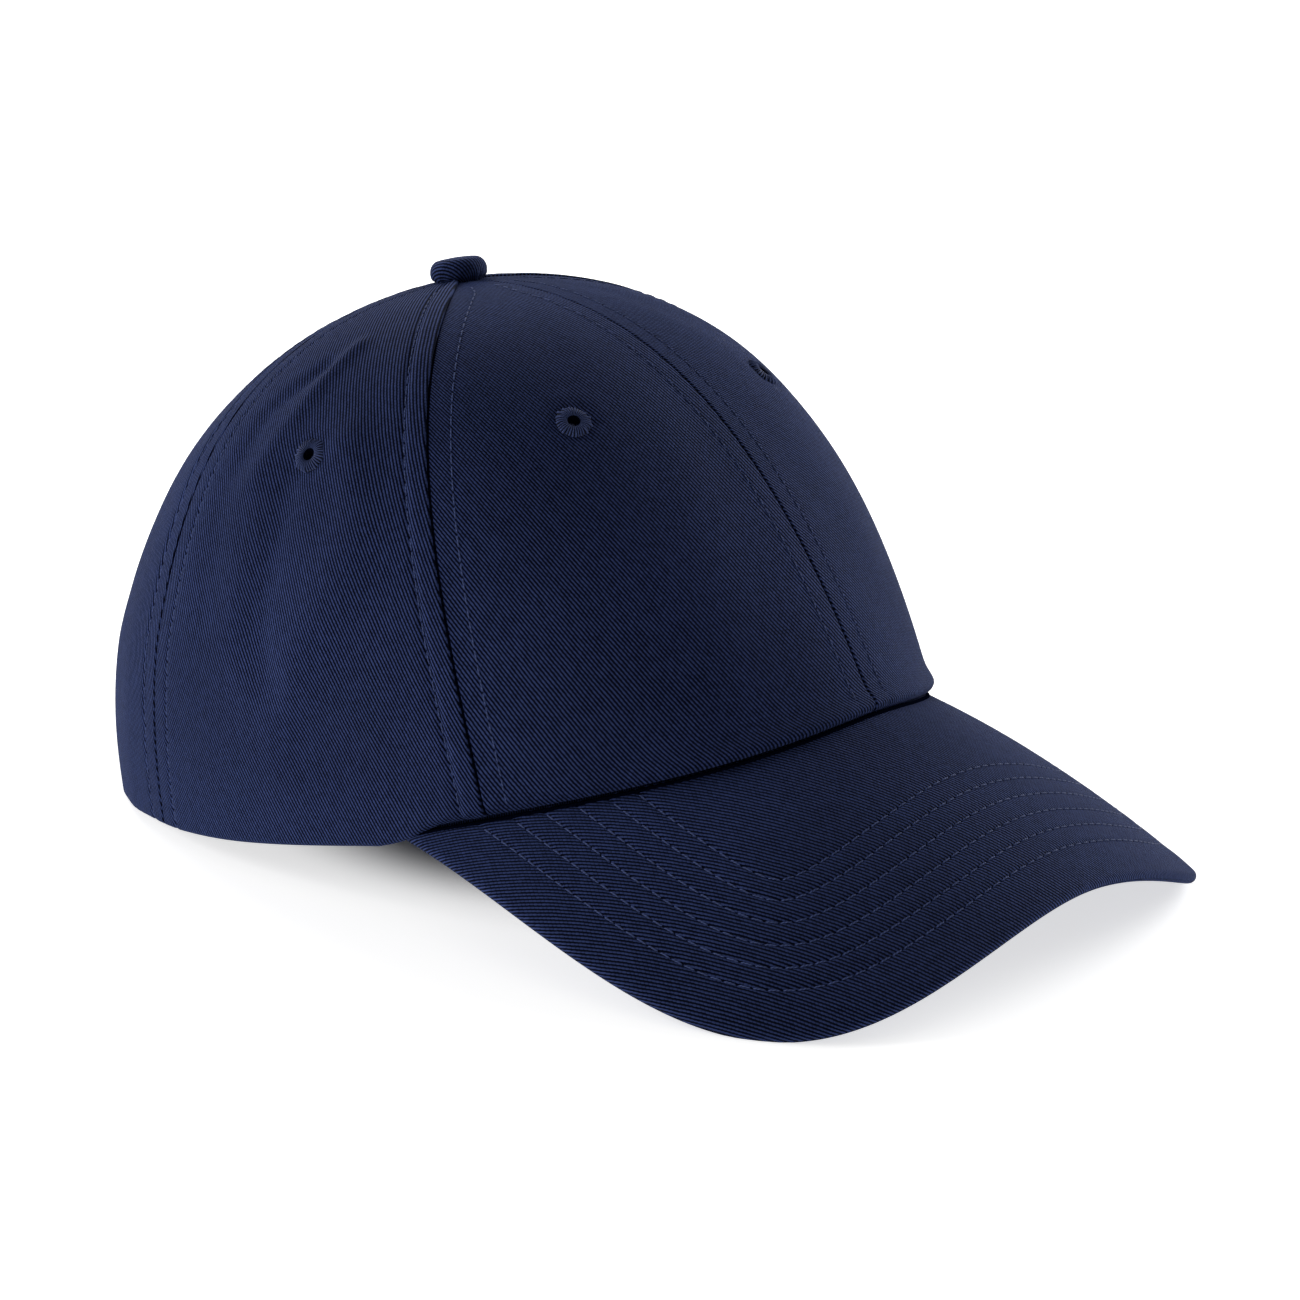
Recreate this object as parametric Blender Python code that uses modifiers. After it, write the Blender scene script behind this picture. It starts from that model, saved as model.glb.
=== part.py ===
"""Six-panel cotton baseball cap with a curved visor, modelled with bpy.

Lengths are in metres and +Z is up. The visor points towards -Y and the wearer's right is -X.
Everything hangs on an empty, crown_frame, whose XY plane is the hem line of the crown. The empty
is tipped back so that the cap stands on the visor's two side edges and on the hem at the back.
"""
import math

import bmesh
import bpy
from mathutils import Matrix, Vector

MM = 0.001

# Hem oval of the crown, seen from above
HEM_HALF_LENGTH = 104.0 * MM
HEM_HALF_WIDTH = 82.6 * MM
HEM_SQUARENESS = 2.167
HEM_EGG = 0.065

# Crown dome above the hem
CROWN_HEIGHT = 118.9 * MM
CROWN_TOP_Y = 7.8 * MM
WALL_REACH = (0.709, -0.054, -0.128)
DOME_REACH = (0.462, 0.190, -0.086)
WALL_BULGE = (0.0045, -0.0844, -0.0805)
SIDE_DIP = 1.3 * MM
BACK_RISE = 5.1 * MM

# Seams between the panels: angle round the crown from the front, and how far each one bows
FRONT_SEAM_ANGLE = 63.9
FRONT_SEAM_BOW = 4.8
BACK_SEAM_ANGLE = 118.6
BACK_SEAM_BOW = -3.5
SEAM_GAP = 0.4 * MM

# Visor: a flat crescent bent over a sloping ridge line
VISOR_CORNER_ANGLE = 73.7
VISOR_PROJECTION = 53.4 * MM
VISOR_THICKNESS = 3.2 * MM
VISOR_SLOPE = 0.493
VISOR_SAG = 3.26
VISOR_SIDE_DROP = 21.0 * MM
VISOR_DROP_AT = 60.0 * MM
VISOR_DROP_POWER = 1.787
VISOR_CROWN_WIDTH = 14.0 * MM
VISOR_FLARE = 17.2
VISOR_SIDE_HANDLE = 83.8 * MM
VISOR_FRONT_HANDLE = 98.8 * MM
VISOR_TUCK = 0.5 * MM
VISOR_CLEARANCE = 0.5 * MM
COVER_THICKNESS = 0.6 * MM
BOARD_THICKNESS = 1.4 * MM

# Layers of the crown wall, as depths below the outer face
PANEL_THICKNESS = 1.0 * MM
BUCKRAM_DEPTH = 1.35 * MM
BUCKRAM_THICKNESS = 0.6 * MM
TAPE_WIDTH = 11.0 * MM
TAPE_THICKNESS = 0.5 * MM
FRONT_TAPE_DEPTH = 2.5 * MM
BACK_TAPE_DEPTH = 1.4 * MM
SWEATBAND_DEPTH = 3.5 * MM
SWEATBAND_BACK_DEPTH = 7.3 * MM
SWEATBAND_THICKNESS = 1.2 * MM
SWEATBAND_END = 149.0

# Button on the crown's top
BUTTON_RADIUS = 6.9 * MM
BUTTON_HEIGHT = 5.4 * MM
BUTTON_LEAN = 3.0
PANEL_TOP_RADIUS = 3.4 * MM
TAPE_TOP_RADIUS = 13.0 * MM

# Sewn eyelets: angle round the crown and share of the way up the panel
FRONT_EYELETS = ((-41.5, 0.50), (37.0, 0.51))
SIDE_EYELETS = ((-89.5, 0.425), (89.5, 0.425))
BACK_EYELETS = ((-150.0, 0.45), (150.0, 0.45))
EYELET_RADIUS = 4.4 * MM
EYELET_HOLE_RADIUS = 1.3 * MM
EYELET_BARREL_RADIUS = 2.5 * MM

# Back opening and its strap
OPENING_HALF_WIDTH = 45.0 * MM
OPENING_HEIGHT = 43.0 * MM
OPENING_BASE = 5.0 * MM
BINDING_RADIUS = 0.9 * MM
STRAP_CENTRE_Y = 19.0 * MM
STRAP_RADIUS = 81.5 * MM
STRAP_THICKNESS = 1.2 * MM
STRAP_WIDTH = 19.0 * MM
STRAP_HEIGHT = 18.0 * MM
STRAP_LEFT_END = 49.0
STRAP_RIGHT_END = -42.0
BUCKLE_ANGLE = -17.0
LEVER_PIN_RADIUS = 0.8 * MM
LEVER_PIN_OUT = 3.1 * MM
LEVER_PIN_ALONG = -4.5 * MM

# Standing pose
TIP_BACK = 10.28
FRAME_FORWARD = 25.43 * MM
FRAME_LIFT = 12.65 * MM

NAVY_TWILL = (0.0150, 0.0200, 0.0500)
NAVY_THREAD = (0.0220, 0.0290, 0.0640)


# ---------------------------------------------------------------- crown and visor shape

def hem_oval(angle):
    """Point of the hem oval at an angle in radians from the front, positive to the wearer's left."""
    sine = math.sin(angle)
    cosine = math.cos(angle)
    power = abs(sine) ** HEM_SQUARENESS + abs(cosine) ** HEM_SQUARENESS
    reach = power ** (-1.0 / HEM_SQUARENESS)
    x = HEM_HALF_WIDTH * reach * sine * (1.0 - HEM_EGG * cosine)
    y = -HEM_HALF_LENGTH * reach * cosine
    return x, y


def visor_rise(x, y):
    forward = -HEM_HALF_LENGTH - y
    reach = math.hypot(x, VISOR_CROWN_WIDTH) ** VISOR_DROP_POWER
    reach -= VISOR_CROWN_WIDTH ** VISOR_DROP_POWER
    drop = VISOR_SIDE_DROP * reach / VISOR_DROP_AT ** VISOR_DROP_POWER
    return -VISOR_SLOPE * forward - VISOR_SAG * forward * forward - drop


VISOR_CORNER = hem_oval(math.radians(VISOR_CORNER_ANGLE))
VISOR_CORNER_RISE = visor_rise(*VISOR_CORNER)


def visor_height(x, y):
    """Height of the visor's middle surface above the hem plane."""
    return visor_rise(x, y) - VISOR_CORNER_RISE


def visor_normal(x, y):
    step = 0.1 * MM
    across = (visor_height(x + step, y) - visor_height(x - step, y)) / (2.0 * step)
    along = (visor_height(x, y + step) - visor_height(x, y - step)) / (2.0 * step)
    return Vector((-across, -along, 1.0)).normalized()


def smooth_step(value):
    value = min(max(value, 0.0), 1.0)
    return value * value * (3.0 - 2.0 * value)


def hem_height(angle):
    """Height of the crown's lower edge: over the visor in front, close to level at the sides and back."""
    degrees = math.degrees(abs(math.remainder(angle, math.tau)))
    side = -SIDE_DIP * math.exp(-((degrees - 105.0) / 22.0) ** 2)
    back = BACK_RISE * (1.0 - math.cos(math.pi * min(max((degrees - 100.0) / 80.0, 0.0), 1.0))) / 2.0
    x, y = hem_oval(math.radians(min(degrees, VISOR_CORNER_ANGLE)))
    over_visor = visor_height(x, y) + VISOR_THICKNESS / 2.0 / visor_normal(x, y).z + VISOR_CLEARANCE
    blend = smooth_step((degrees - VISOR_CORNER_ANGLE) / 6.0)
    return over_visor * (1.0 - blend) + (side + back) * blend


def waves(weights, angle):
    return weights[0] + weights[1] * math.cos(angle) + weights[2] * math.cos(2.0 * angle)


def crown_point(angle, up):
    """Outer face of the crown: up runs from 0 at the hem to 1 at the button, along a Bezier curve."""
    hem_x, hem_y = hem_oval(angle)
    base = hem_height(angle)
    rest = 1.0 - up
    radial = rest ** 3
    radial += 3.0 * rest * rest * up * (1.0 + waves(WALL_BULGE, angle))
    radial += 3.0 * rest * up * up * waves(DOME_REACH, angle)
    shoulder = base + waves(WALL_REACH, angle) * (CROWN_HEIGHT - base)
    height = rest ** 3 * base + 3.0 * rest * rest * up * shoulder
    height += (3.0 * rest * up * up + up ** 3) * CROWN_HEIGHT
    return Vector((hem_x * radial, CROWN_TOP_Y + (hem_y - CROWN_TOP_Y) * radial, height))


def crown_normal(angle, up):
    step = 0.002
    low = max(up - step, 0.0)
    high = min(up + step, 0.999)
    around = crown_point(angle + step, up) - crown_point(angle - step, up)
    upward = crown_point(angle, high) - crown_point(angle, low)
    return around.cross(upward).normalized()


def crown_layer(angle, up, depth):
    return crown_point(angle, up) - depth * crown_normal(angle, up)


def distance_from_top(angle, up):
    point = crown_point(angle, up)
    return math.hypot(point.x, point.y - CROWN_TOP_Y)


def up_at_radius(angle, radius):
    """Share of the way up where the crown has closed in to this distance from its top."""
    low = 0.5
    high = 1.0
    for _ in range(30):
        middle = (low + high) / 2.0
        if distance_from_top(angle, middle) > radius:
            low = middle
        else:
            high = middle
    return low


def up_at_height(angle, height):
    low = 0.0
    high = 1.0
    for _ in range(30):
        middle = (low + high) / 2.0
        if crown_point(angle, middle).z < height:
            low = middle
        else:
            high = middle
    return low


def seam_angle(base, bow, up):
    return math.radians(base + bow * 4.0 * up * (1.0 - up))


def visor_outline(share):
    """Outer edge of the visor, share from -1 at its right corner to 1 at its left corner."""
    corner = Vector(VISOR_CORNER)
    flare = math.radians(VISOR_FLARE)
    side = corner + VISOR_SIDE_HANDLE * Vector((math.sin(flare), -math.cos(flare)))
    nose = Vector((0.0, -HEM_HALF_LENGTH - VISOR_PROJECTION))
    front = nose + Vector((VISOR_FRONT_HANDLE, 0.0))
    go = 1.0 - abs(share)
    rest = 1.0 - go
    point = rest ** 3 * corner + 3.0 * rest * rest * go * side
    point += 3.0 * rest * go * go * front + go ** 3 * nose
    return math.copysign(point.x, share), point.y


def visor_layer(across, out, inset, depth):
    """Point of a visor layer. Across is -1 to 1, out is 0 at the crown and 1 at the edge."""
    inner_x, inner_y = hem_oval(math.radians(VISOR_CORNER_ANGLE * 0.985) * across)
    shrink = 1.0 - VISOR_TUCK / HEM_HALF_LENGTH
    inner = Vector((inner_x, inner_y)) * shrink
    outer = Vector(visor_outline(across))
    outward = (outer - inner).normalized()
    outer -= outward * inset
    flat = inner.lerp(outer, out)
    point = Vector((flat.x, flat.y, visor_height(flat.x, flat.y)))
    return point - depth * visor_normal(flat.x, flat.y)


# ---------------------------------------------------------------- scene helpers

def clear_scene():
    for item in list(bpy.data.objects):
        bpy.data.objects.remove(item, do_unlink=True)


def new_collection(name):
    made = bpy.data.collections.new(name)
    bpy.context.scene.collection.children.link(made)
    return made


def make_material(name, colour, roughness, metallic=0.0):
    material = bpy.data.materials.new(name)
    material.use_nodes = True
    shader = material.node_tree.nodes["Principled BSDF"]
    shader.inputs["Base Color"].default_value = (*colour, 1.0)
    shader.inputs["Roughness"].default_value = roughness
    shader.inputs["Metallic"].default_value = metallic
    material.diffuse_color = (*colour, 1.0)
    return material


def add_object(name, mesh, material, collection, parent):
    item = bpy.data.objects.new(name, mesh)
    collection.objects.link(item)
    item.parent = parent
    if material is not None:
        mesh.materials.clear()
        mesh.materials.append(material)
    return item


def smooth(item, angle=35.0):
    item.data.shade_smooth()
    item.data.set_sharp_from_angle(angle=math.radians(angle))


def sheet(name, columns, rows, place, thickness, material):
    """A grid bent over the crown or the visor by place(u, v), and thickened inwards."""
    mesh = bpy.data.meshes.new(name)
    grid = bmesh.new()
    bmesh.ops.create_grid(grid, x_segments=columns, y_segments=rows, size=0.5)
    for vertex in grid.verts:
        vertex.co = place(vertex.co.x + 0.5, vertex.co.y + 0.5)
    grid.to_mesh(mesh)
    grid.free()
    item = add_object(name, mesh, material, cap_parts, crown_frame)
    wall = item.modifiers.new("wall", "SOLIDIFY")
    wall.thickness = thickness
    wall.offset = -1.0
    wall.use_even_offset = True
    smooth(item)
    return item


def turned(name, profile, steps, material, parent):
    """A closed profile of (radius, height) points turned about its own Z axis."""
    mesh = bpy.data.meshes.new(name)
    points = [(radius, 0.0, height) for radius, height in profile]
    edges = [(index, (index + 1) % len(points)) for index in range(len(points))]
    mesh.from_pydata(points, edges, [])
    item = add_object(name, mesh, material, cap_parts, parent)
    turn = item.modifiers.new("turn", "SCREW")
    turn.steps = steps
    turn.render_steps = steps
    turn.use_merge_vertices = True
    turn.merge_threshold = 0.00001
    turn.use_smooth_shade = True
    return item


def cylinder(name, radius, depth, vertices, material, collection, parent):
    mesh = bpy.data.meshes.new(name)
    shape = bmesh.new()
    bmesh.ops.create_cone(
        shape, cap_ends=True, segments=vertices, radius1=radius, radius2=radius, depth=depth
    )
    shape.to_mesh(mesh)
    shape.free()
    item = add_object(name, mesh, material, collection, parent)
    smooth(item)
    return item


def box(name, low, high, material, collection, parent):
    mesh = bpy.data.meshes.new(name)
    shape = bmesh.new()
    bmesh.ops.create_cube(shape, size=1.0)
    low = Vector(low)
    high = Vector(high)
    for vertex in shape.verts:
        for axis in range(3):
            vertex.co[axis] = low[axis] + (vertex.co[axis] + 0.5) * (high[axis] - low[axis])
    shape.to_mesh(mesh)
    shape.free()
    return add_object(name, mesh, material, collection, parent)


def flat_outline(name, outline, half_height, material, parent):
    """A closed plan outline, extruded half_height above and below its plane."""
    curve = bpy.data.curves.new(name, "CURVE")
    curve.dimensions = "2D"
    curve.fill_mode = "BOTH"
    curve.extrude = half_height
    spline = curve.splines.new("POLY")
    spline.points.add(len(outline) - 1)
    for point, (x, y) in zip(spline.points, outline):
        point.co = (x, y, 0.0, 1.0)
    spline.use_cyclic_u = True
    curve.materials.append(material)
    item = bpy.data.objects.new(name, curve)
    cap_parts.objects.link(item)
    item.parent = parent
    return item


def tool(item):
    item.hide_render = True
    item.display_type = "WIRE"
    return item


def combine(item, other, operation):
    step = item.modifiers.new(operation.lower(), "BOOLEAN")
    step.operation = operation
    step.object = other
    step.solver = "EXACT"


# ---------------------------------------------------------------- crown parts

def panel_place(left_seam, right_seam):
    """Maps the grid to the space between two seams, each one an (angle, bow) pair."""
    def place(across, up_share):
        middle = seam_angle((left_seam[0] + right_seam[0]) / 2.0, 0.0, 0.0)
        top = up_at_radius(middle, PANEL_TOP_RADIUS)
        up = up_share * top
        first = seam_angle(*left_seam, up)
        second = seam_angle(*right_seam, up)
        half_gap = SEAM_GAP / 2.0 / max(distance_from_top(middle, up), PANEL_TOP_RADIUS)
        first += half_gap
        second -= half_gap
        angle = first + (second - first) * across
        top = up_at_radius(angle, PANEL_TOP_RADIUS)
        return crown_point(angle, up_share * top)
    return place


def buckram_place(left_seam, right_seam):
    def place(across, up_share):
        low = 0.02
        high = 0.80
        up = low + (high - low) * up_share
        inset = 0.022
        first = seam_angle(*left_seam, up) + inset
        second = seam_angle(*right_seam, up) - inset
        return crown_layer(first + (second - first) * across, up, BUCKRAM_DEPTH)
    return place


def tape_place(base, bow, depth, low):
    def place(across, up_share):
        middle = math.radians(base)
        high = up_at_radius(middle, TAPE_TOP_RADIUS)
        up = low + (high - low) * up_share
        radius = distance_from_top(middle, up)
        angle = seam_angle(base, bow, up) + (across - 0.5) * TAPE_WIDTH / radius
        return crown_layer(angle, up, depth)
    return place


def sweatband_place(across, up_share):
    degrees = (across * 2.0 - 1.0) * SWEATBAND_END
    angle = math.radians(degrees)
    back = smooth_step((abs(degrees) - 108.0) / 12.0)
    depth = SWEATBAND_DEPTH + (SWEATBAND_BACK_DEPTH - SWEATBAND_DEPTH) * back
    top = 0.20 - 0.012 * (1.0 - math.cos(angle))
    return crown_layer(angle, 0.012 + (top - 0.012) * up_share, depth)


def eyelet(name, place, hosts):
    angle = math.radians(place[0])
    point = crown_point(angle, place[1])
    turn = crown_normal(angle, place[1]).to_track_quat("Z", "Y")
    profile = (
        (EYELET_HOLE_RADIUS, 0.55 * MM),
        (EYELET_BARREL_RADIUS, 0.80 * MM),
        (EYELET_RADIUS, 0.50 * MM),
        (EYELET_RADIUS, 0.30 * MM),
        (EYELET_BARREL_RADIUS, 0.30 * MM),
        (EYELET_BARREL_RADIUS, -1.65 * MM),
        (EYELET_RADIUS - 0.6 * MM, -1.65 * MM),
        (EYELET_RADIUS - 0.6 * MM, -1.95 * MM),
        (EYELET_HOLE_RADIUS, -1.95 * MM),
    )
    ring = turned(name, profile, 16, thread, crown_frame)
    ring.location = point
    ring.rotation_mode = "QUATERNION"
    ring.rotation_quaternion = turn
    for host, radius in hosts:
        drill = tool(cylinder("drill_" + host.name, radius, 8.0 * MM, 20, None, helpers, crown_frame))
        drill.location = point
        drill.rotation_mode = "QUATERNION"
        drill.rotation_quaternion = turn
        combine(host, drill, "DIFFERENCE")
    return ring


def back_wall_point(x, z, depth):
    """Point of the crown's back at this x and height, at a depth below its outer face."""
    low = math.radians(135.0)
    high = math.pi
    for _ in range(30):
        middle = (low + high) / 2.0
        if crown_point(middle, up_at_height(middle, z)).x > abs(x):
            low = middle
        else:
            high = middle
    angle = math.copysign(low, x)
    return crown_layer(angle, up_at_height(low, z), depth)


def opening_binding():
    curve = bpy.data.curves.new("opening_binding", "CURVE")
    curve.dimensions = "3D"
    curve.bevel_depth = BINDING_RADIUS
    curve.bevel_resolution = 1
    curve.use_fill_caps = True
    spline = curve.splines.new("POLY")
    count = 25
    spline.points.add(count - 1)
    inset = BINDING_RADIUS + 0.4 * MM
    for index, point in enumerate(spline.points):
        turn = math.pi * index / (count - 1)
        x = (OPENING_HALF_WIDTH - inset) * math.cos(turn)
        z = OPENING_BASE + (OPENING_HEIGHT - inset) * math.sin(turn)
        place = back_wall_point(x, z, PANEL_THICKNESS / 2.0)
        point.co = (*place, 1.0)
    curve.materials.append(navy_twill)
    item = bpy.data.objects.new("opening_binding", curve)
    cap_parts.objects.link(item)
    item.parent = crown_frame
    return item


# ---------------------------------------------------------------- strap and buckle

def on_strap_circle(degrees, radius):
    angle = math.radians(degrees)
    return radius * math.sin(angle), radius * math.cos(angle)


def arc_band(start, end, inner_radius, outer_radius, count):
    """Plan outline of a band round the strap's centre, between two angles from the back."""
    turns = [start + (end - start) * index / count for index in range(count + 1)]
    outline = [on_strap_circle(turn, outer_radius) for turn in turns]
    outline += [on_strap_circle(turn, inner_radius) for turn in reversed(turns)]
    return outline


clear_scene()
cap_parts = new_collection("baseball_cap")
helpers = new_collection("cutters")

navy_twill = make_material("navy_cotton_twill", NAVY_TWILL, 0.9)
thread = make_material("navy_thread", NAVY_THREAD, 0.75)
lining = make_material("sweatband_cotton", (0.013, 0.017, 0.042), 0.9)
tape_cloth = make_material("seam_tape_cotton", (0.012, 0.015, 0.036), 0.9)
buckram = make_material("white_buckram", (0.62, 0.62, 0.60), 0.85)
board = make_material("visor_board_plastic", (0.55, 0.55, 0.53), 0.5)
brass = make_material("antique_brass", (0.36, 0.27, 0.13), 0.38, 0.9)
steel = make_material("zinc_plated_steel", (0.55, 0.56, 0.57), 0.35, 0.9)
label_cloth = make_material("label_satin", (0.60, 0.60, 0.58), 0.6)

crown_frame = bpy.data.objects.new("crown_frame", None)
cap_parts.objects.link(crown_frame)
crown_frame.rotation_euler = (-math.radians(TIP_BACK), 0.0, 0.0)
crown_frame.location = (0.0, FRAME_FORWARD, FRAME_LIFT)

centre_seam = (0.0, 0.0)
left_front_seam = (FRONT_SEAM_ANGLE, FRONT_SEAM_BOW)
left_back_seam = (BACK_SEAM_ANGLE, BACK_SEAM_BOW)
rear_seam = (180.0, 0.0)
right_front_seam = (-FRONT_SEAM_ANGLE, -FRONT_SEAM_BOW)
right_back_seam = (-BACK_SEAM_ANGLE, -BACK_SEAM_BOW)
right_rear_seam = (-180.0, 0.0)

panels = {}
for panel_name, first_seam, second_seam in (
    ("front_panel_left", centre_seam, left_front_seam),
    ("front_panel_right", right_front_seam, centre_seam),
    ("side_panel_left", left_front_seam, left_back_seam),
    ("side_panel_right", right_back_seam, right_front_seam),
    ("back_panel_left", left_back_seam, rear_seam),
    ("back_panel_right", right_rear_seam, right_back_seam),
):
    place = panel_place(first_seam, second_seam)
    panels[panel_name] = sheet(panel_name, 10, 14, place, PANEL_THICKNESS, navy_twill)

buckrams = {}
for side, first_seam, second_seam in (
    ("left", centre_seam, left_front_seam),
    ("right", right_front_seam, centre_seam),
):
    name = "front_buckram_" + side
    place = buckram_place(first_seam, second_seam)
    buckrams[side] = sheet(name, 8, 10, place, BUCKRAM_THICKNESS, buckram)

opening_top = OPENING_BASE + OPENING_HEIGHT + 2.5 * MM
for tape_name, base, bow, depth, low in (
    ("seam_tape_centre_front", 0.0, 0.0, FRONT_TAPE_DEPTH, 0.02),
    ("seam_tape_front_left", FRONT_SEAM_ANGLE, FRONT_SEAM_BOW, FRONT_TAPE_DEPTH, 0.02),
    ("seam_tape_front_right", -FRONT_SEAM_ANGLE, -FRONT_SEAM_BOW, FRONT_TAPE_DEPTH, 0.02),
    ("seam_tape_back_left", BACK_SEAM_ANGLE, BACK_SEAM_BOW, BACK_TAPE_DEPTH, 0.02),
    ("seam_tape_back_right", -BACK_SEAM_ANGLE, -BACK_SEAM_BOW, BACK_TAPE_DEPTH, 0.02),
    ("seam_tape_centre_back", 180.0, 0.0, BACK_TAPE_DEPTH, up_at_height(math.pi, opening_top)),
):
    sheet(tape_name, 2, 12, tape_place(base, bow, depth, low), TAPE_THICKNESS, tape_cloth)

sweatband = sheet("sweatband", 48, 2, sweatband_place, SWEATBAND_THICKNESS, lining)

for side, sign, place in (("right", -1, FRONT_EYELETS[0]), ("left", 1, FRONT_EYELETS[1])):
    hosts = (
        (panels["front_panel_" + side], EYELET_BARREL_RADIUS + 0.4 * MM),
        (buckrams[side], EYELET_RADIUS + 0.5 * MM),
    )
    eyelet("eyelet_front_" + side, place, hosts)
for side, side_place, back_place in (
    ("right", SIDE_EYELETS[0], BACK_EYELETS[0]),
    ("left", SIDE_EYELETS[1], BACK_EYELETS[1]),
):
    hole = EYELET_BARREL_RADIUS + 0.4 * MM
    eyelet("eyelet_side_" + side, side_place, ((panels["side_panel_" + side], hole),))
    eyelet("eyelet_back_" + side, back_place, ((panels["back_panel_" + side], hole),))

arch = tool(cylinder("opening_arch", 1.0, 1.0, 64, None, helpers, crown_frame))
arch_shape = Matrix.Diagonal((OPENING_HALF_WIDTH, OPENING_HEIGHT, 80.0 * MM)).to_4x4()
arch.data.transform(Matrix.Rotation(math.pi / 2.0, 4, "X") @ arch_shape)
arch.location = (0.0, HEM_HALF_LENGTH, OPENING_BASE)
combine(panels["back_panel_left"], arch, "DIFFERENCE")
combine(panels["back_panel_right"], arch, "DIFFERENCE")
opening_binding()


# Visor: a top cover and an under cover that meet at the edge, with a board between them
def visor_cover_place(side):
    """Side is 1 for the top cover and -1 for the under cover; the last rows roll over the edge."""
    half = VISOR_THICKNESS / 2.0
    edge_rows = 3

    def place(across_share, out_share):
        across = side * (1.0 - 2.0 * across_share)
        row = round(out_share * (VISOR_ROWS + edge_rows))
        if row <= VISOR_ROWS:
            return visor_layer(across, row / VISOR_ROWS, half, -side * half)
        turn = math.radians(74.0) * (row - VISOR_ROWS) / edge_rows
        inset = half * (1.0 - math.sin(turn))
        return visor_layer(across, 1.0, inset, -side * half * math.cos(turn))
    return place


VISOR_ROWS = 5
top_cover = sheet(
    "visor_top_cover", 28, VISOR_ROWS + 3, visor_cover_place(1), COVER_THICKNESS, navy_twill
)
under_cover = sheet(
    "visor_under_cover", 28, VISOR_ROWS + 3, visor_cover_place(-1), COVER_THICKNESS, navy_twill
)


def board_place(across_share, out_share):
    across = 0.985 * (1.0 - 2.0 * across_share)
    out = 0.03 + 0.97 * out_share
    return visor_layer(across, out, 1.6 * MM, -BOARD_THICKNESS / 2.0)


visor_board = sheet("visor_board", 28, 5, board_place, BOARD_THICKNESS, board)

# Button: a fabric cover round a pressed shell, whose shank is capped inside the crown
button_frame = bpy.data.objects.new("button_frame", None)
cap_parts.objects.link(button_frame)
button_frame.parent = crown_frame
button_frame.location = (0.0, CROWN_TOP_Y, CROWN_HEIGHT)
button_frame.rotation_euler = (-math.radians(BUTTON_LEAN), 0.0, 0.0)

button_cover_profile = (
    (0.0, BUTTON_HEIGHT),
    (BUTTON_RADIUS * 0.45, BUTTON_HEIGHT * 0.97),
    (BUTTON_RADIUS * 0.80, BUTTON_HEIGHT * 0.84),
    (BUTTON_RADIUS * 0.97, BUTTON_HEIGHT * 0.60),
    (BUTTON_RADIUS, BUTTON_HEIGHT * 0.38),
    (BUTTON_RADIUS * 0.93, BUTTON_HEIGHT * 0.16),
    (BUTTON_RADIUS * 0.80, 0.50 * MM),
    (4.4 * MM, 0.50 * MM),
    (4.4 * MM, 1.20 * MM),
    (5.3 * MM, 1.60 * MM),
    (5.6 * MM, 2.40 * MM),
    (4.4 * MM, 3.80 * MM),
    (2.4 * MM, 4.30 * MM),
    (0.0, 4.40 * MM),
)


def open_turned(name, profile, steps, material, parent):
    """A profile that starts and ends on the axis, turned about Z."""
    mesh = bpy.data.meshes.new(name)
    points = [(radius, 0.0, height) for radius, height in profile]
    edges = [(index, index + 1) for index in range(len(points) - 1)]
    mesh.from_pydata(points, edges, [])
    item = add_object(name, mesh, material, cap_parts, parent)
    turn = item.modifiers.new("turn", "SCREW")
    turn.steps = steps
    turn.render_steps = steps
    turn.use_merge_vertices = True
    turn.merge_threshold = 0.00001
    turn.use_smooth_shade = True
    return item


open_turned("button_cover", button_cover_profile, 24, navy_twill, button_frame)
button_shell_profile = (
    (0.0, 4.05 * MM),
    (2.3 * MM, 3.95 * MM),
    (4.1 * MM, 3.45 * MM),
    (5.2 * MM, 2.30 * MM),
    (4.9 * MM, 1.75 * MM),
    (1.7 * MM, 1.60 * MM),
    (1.7 * MM, -2.00 * MM),
    (0.0, -2.00 * MM),
)
open_turned("button_shell", button_shell_profile, 20, steel, button_frame)
button_back_profile = (
    (0.0, -2.40 * MM),
    (2.1 * MM, -2.40 * MM),
    (2.1 * MM, -1.70 * MM),
    (5.6 * MM, -3.30 * MM),
    (5.9 * MM, -3.80 * MM),
    (4.2 * MM, -4.50 * MM),
    (0.0, -4.80 * MM),
)
open_turned("button_back_cap", button_back_profile, 20, steel, button_frame)

# Strap and buckle, on a frame at the middle of the strap's own circle
strap_frame = bpy.data.objects.new("strap_frame", None)
cap_parts.objects.link(strap_frame)
strap_frame.parent = crown_frame
strap_frame.location = (0.0, STRAP_CENTRE_Y, STRAP_HEIGHT)

strap_outline = arc_band(
    STRAP_RIGHT_END,
    STRAP_LEFT_END,
    STRAP_RADIUS - STRAP_THICKNESS / 2.0,
    STRAP_RADIUS + STRAP_THICKNESS / 2.0,
    30,
)
flat_outline("closure_strap", strap_outline, STRAP_WIDTH / 2.0, navy_twill, strap_frame)

buckle_frame = bpy.data.objects.new("buckle_frame_axes", None)
cap_parts.objects.link(buckle_frame)
buckle_frame.parent = strap_frame
buckle_x, buckle_y = on_strap_circle(BUCKLE_ANGLE, STRAP_RADIUS)
buckle_frame.location = (buckle_x, buckle_y, 0.0)
buckle_frame.rotation_euler = (0.0, 0.0, math.radians(180.0 - BUCKLE_ANGLE))
# In these axes +X runs along the strap towards the wearer's right and -Y points out of the cap

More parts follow.
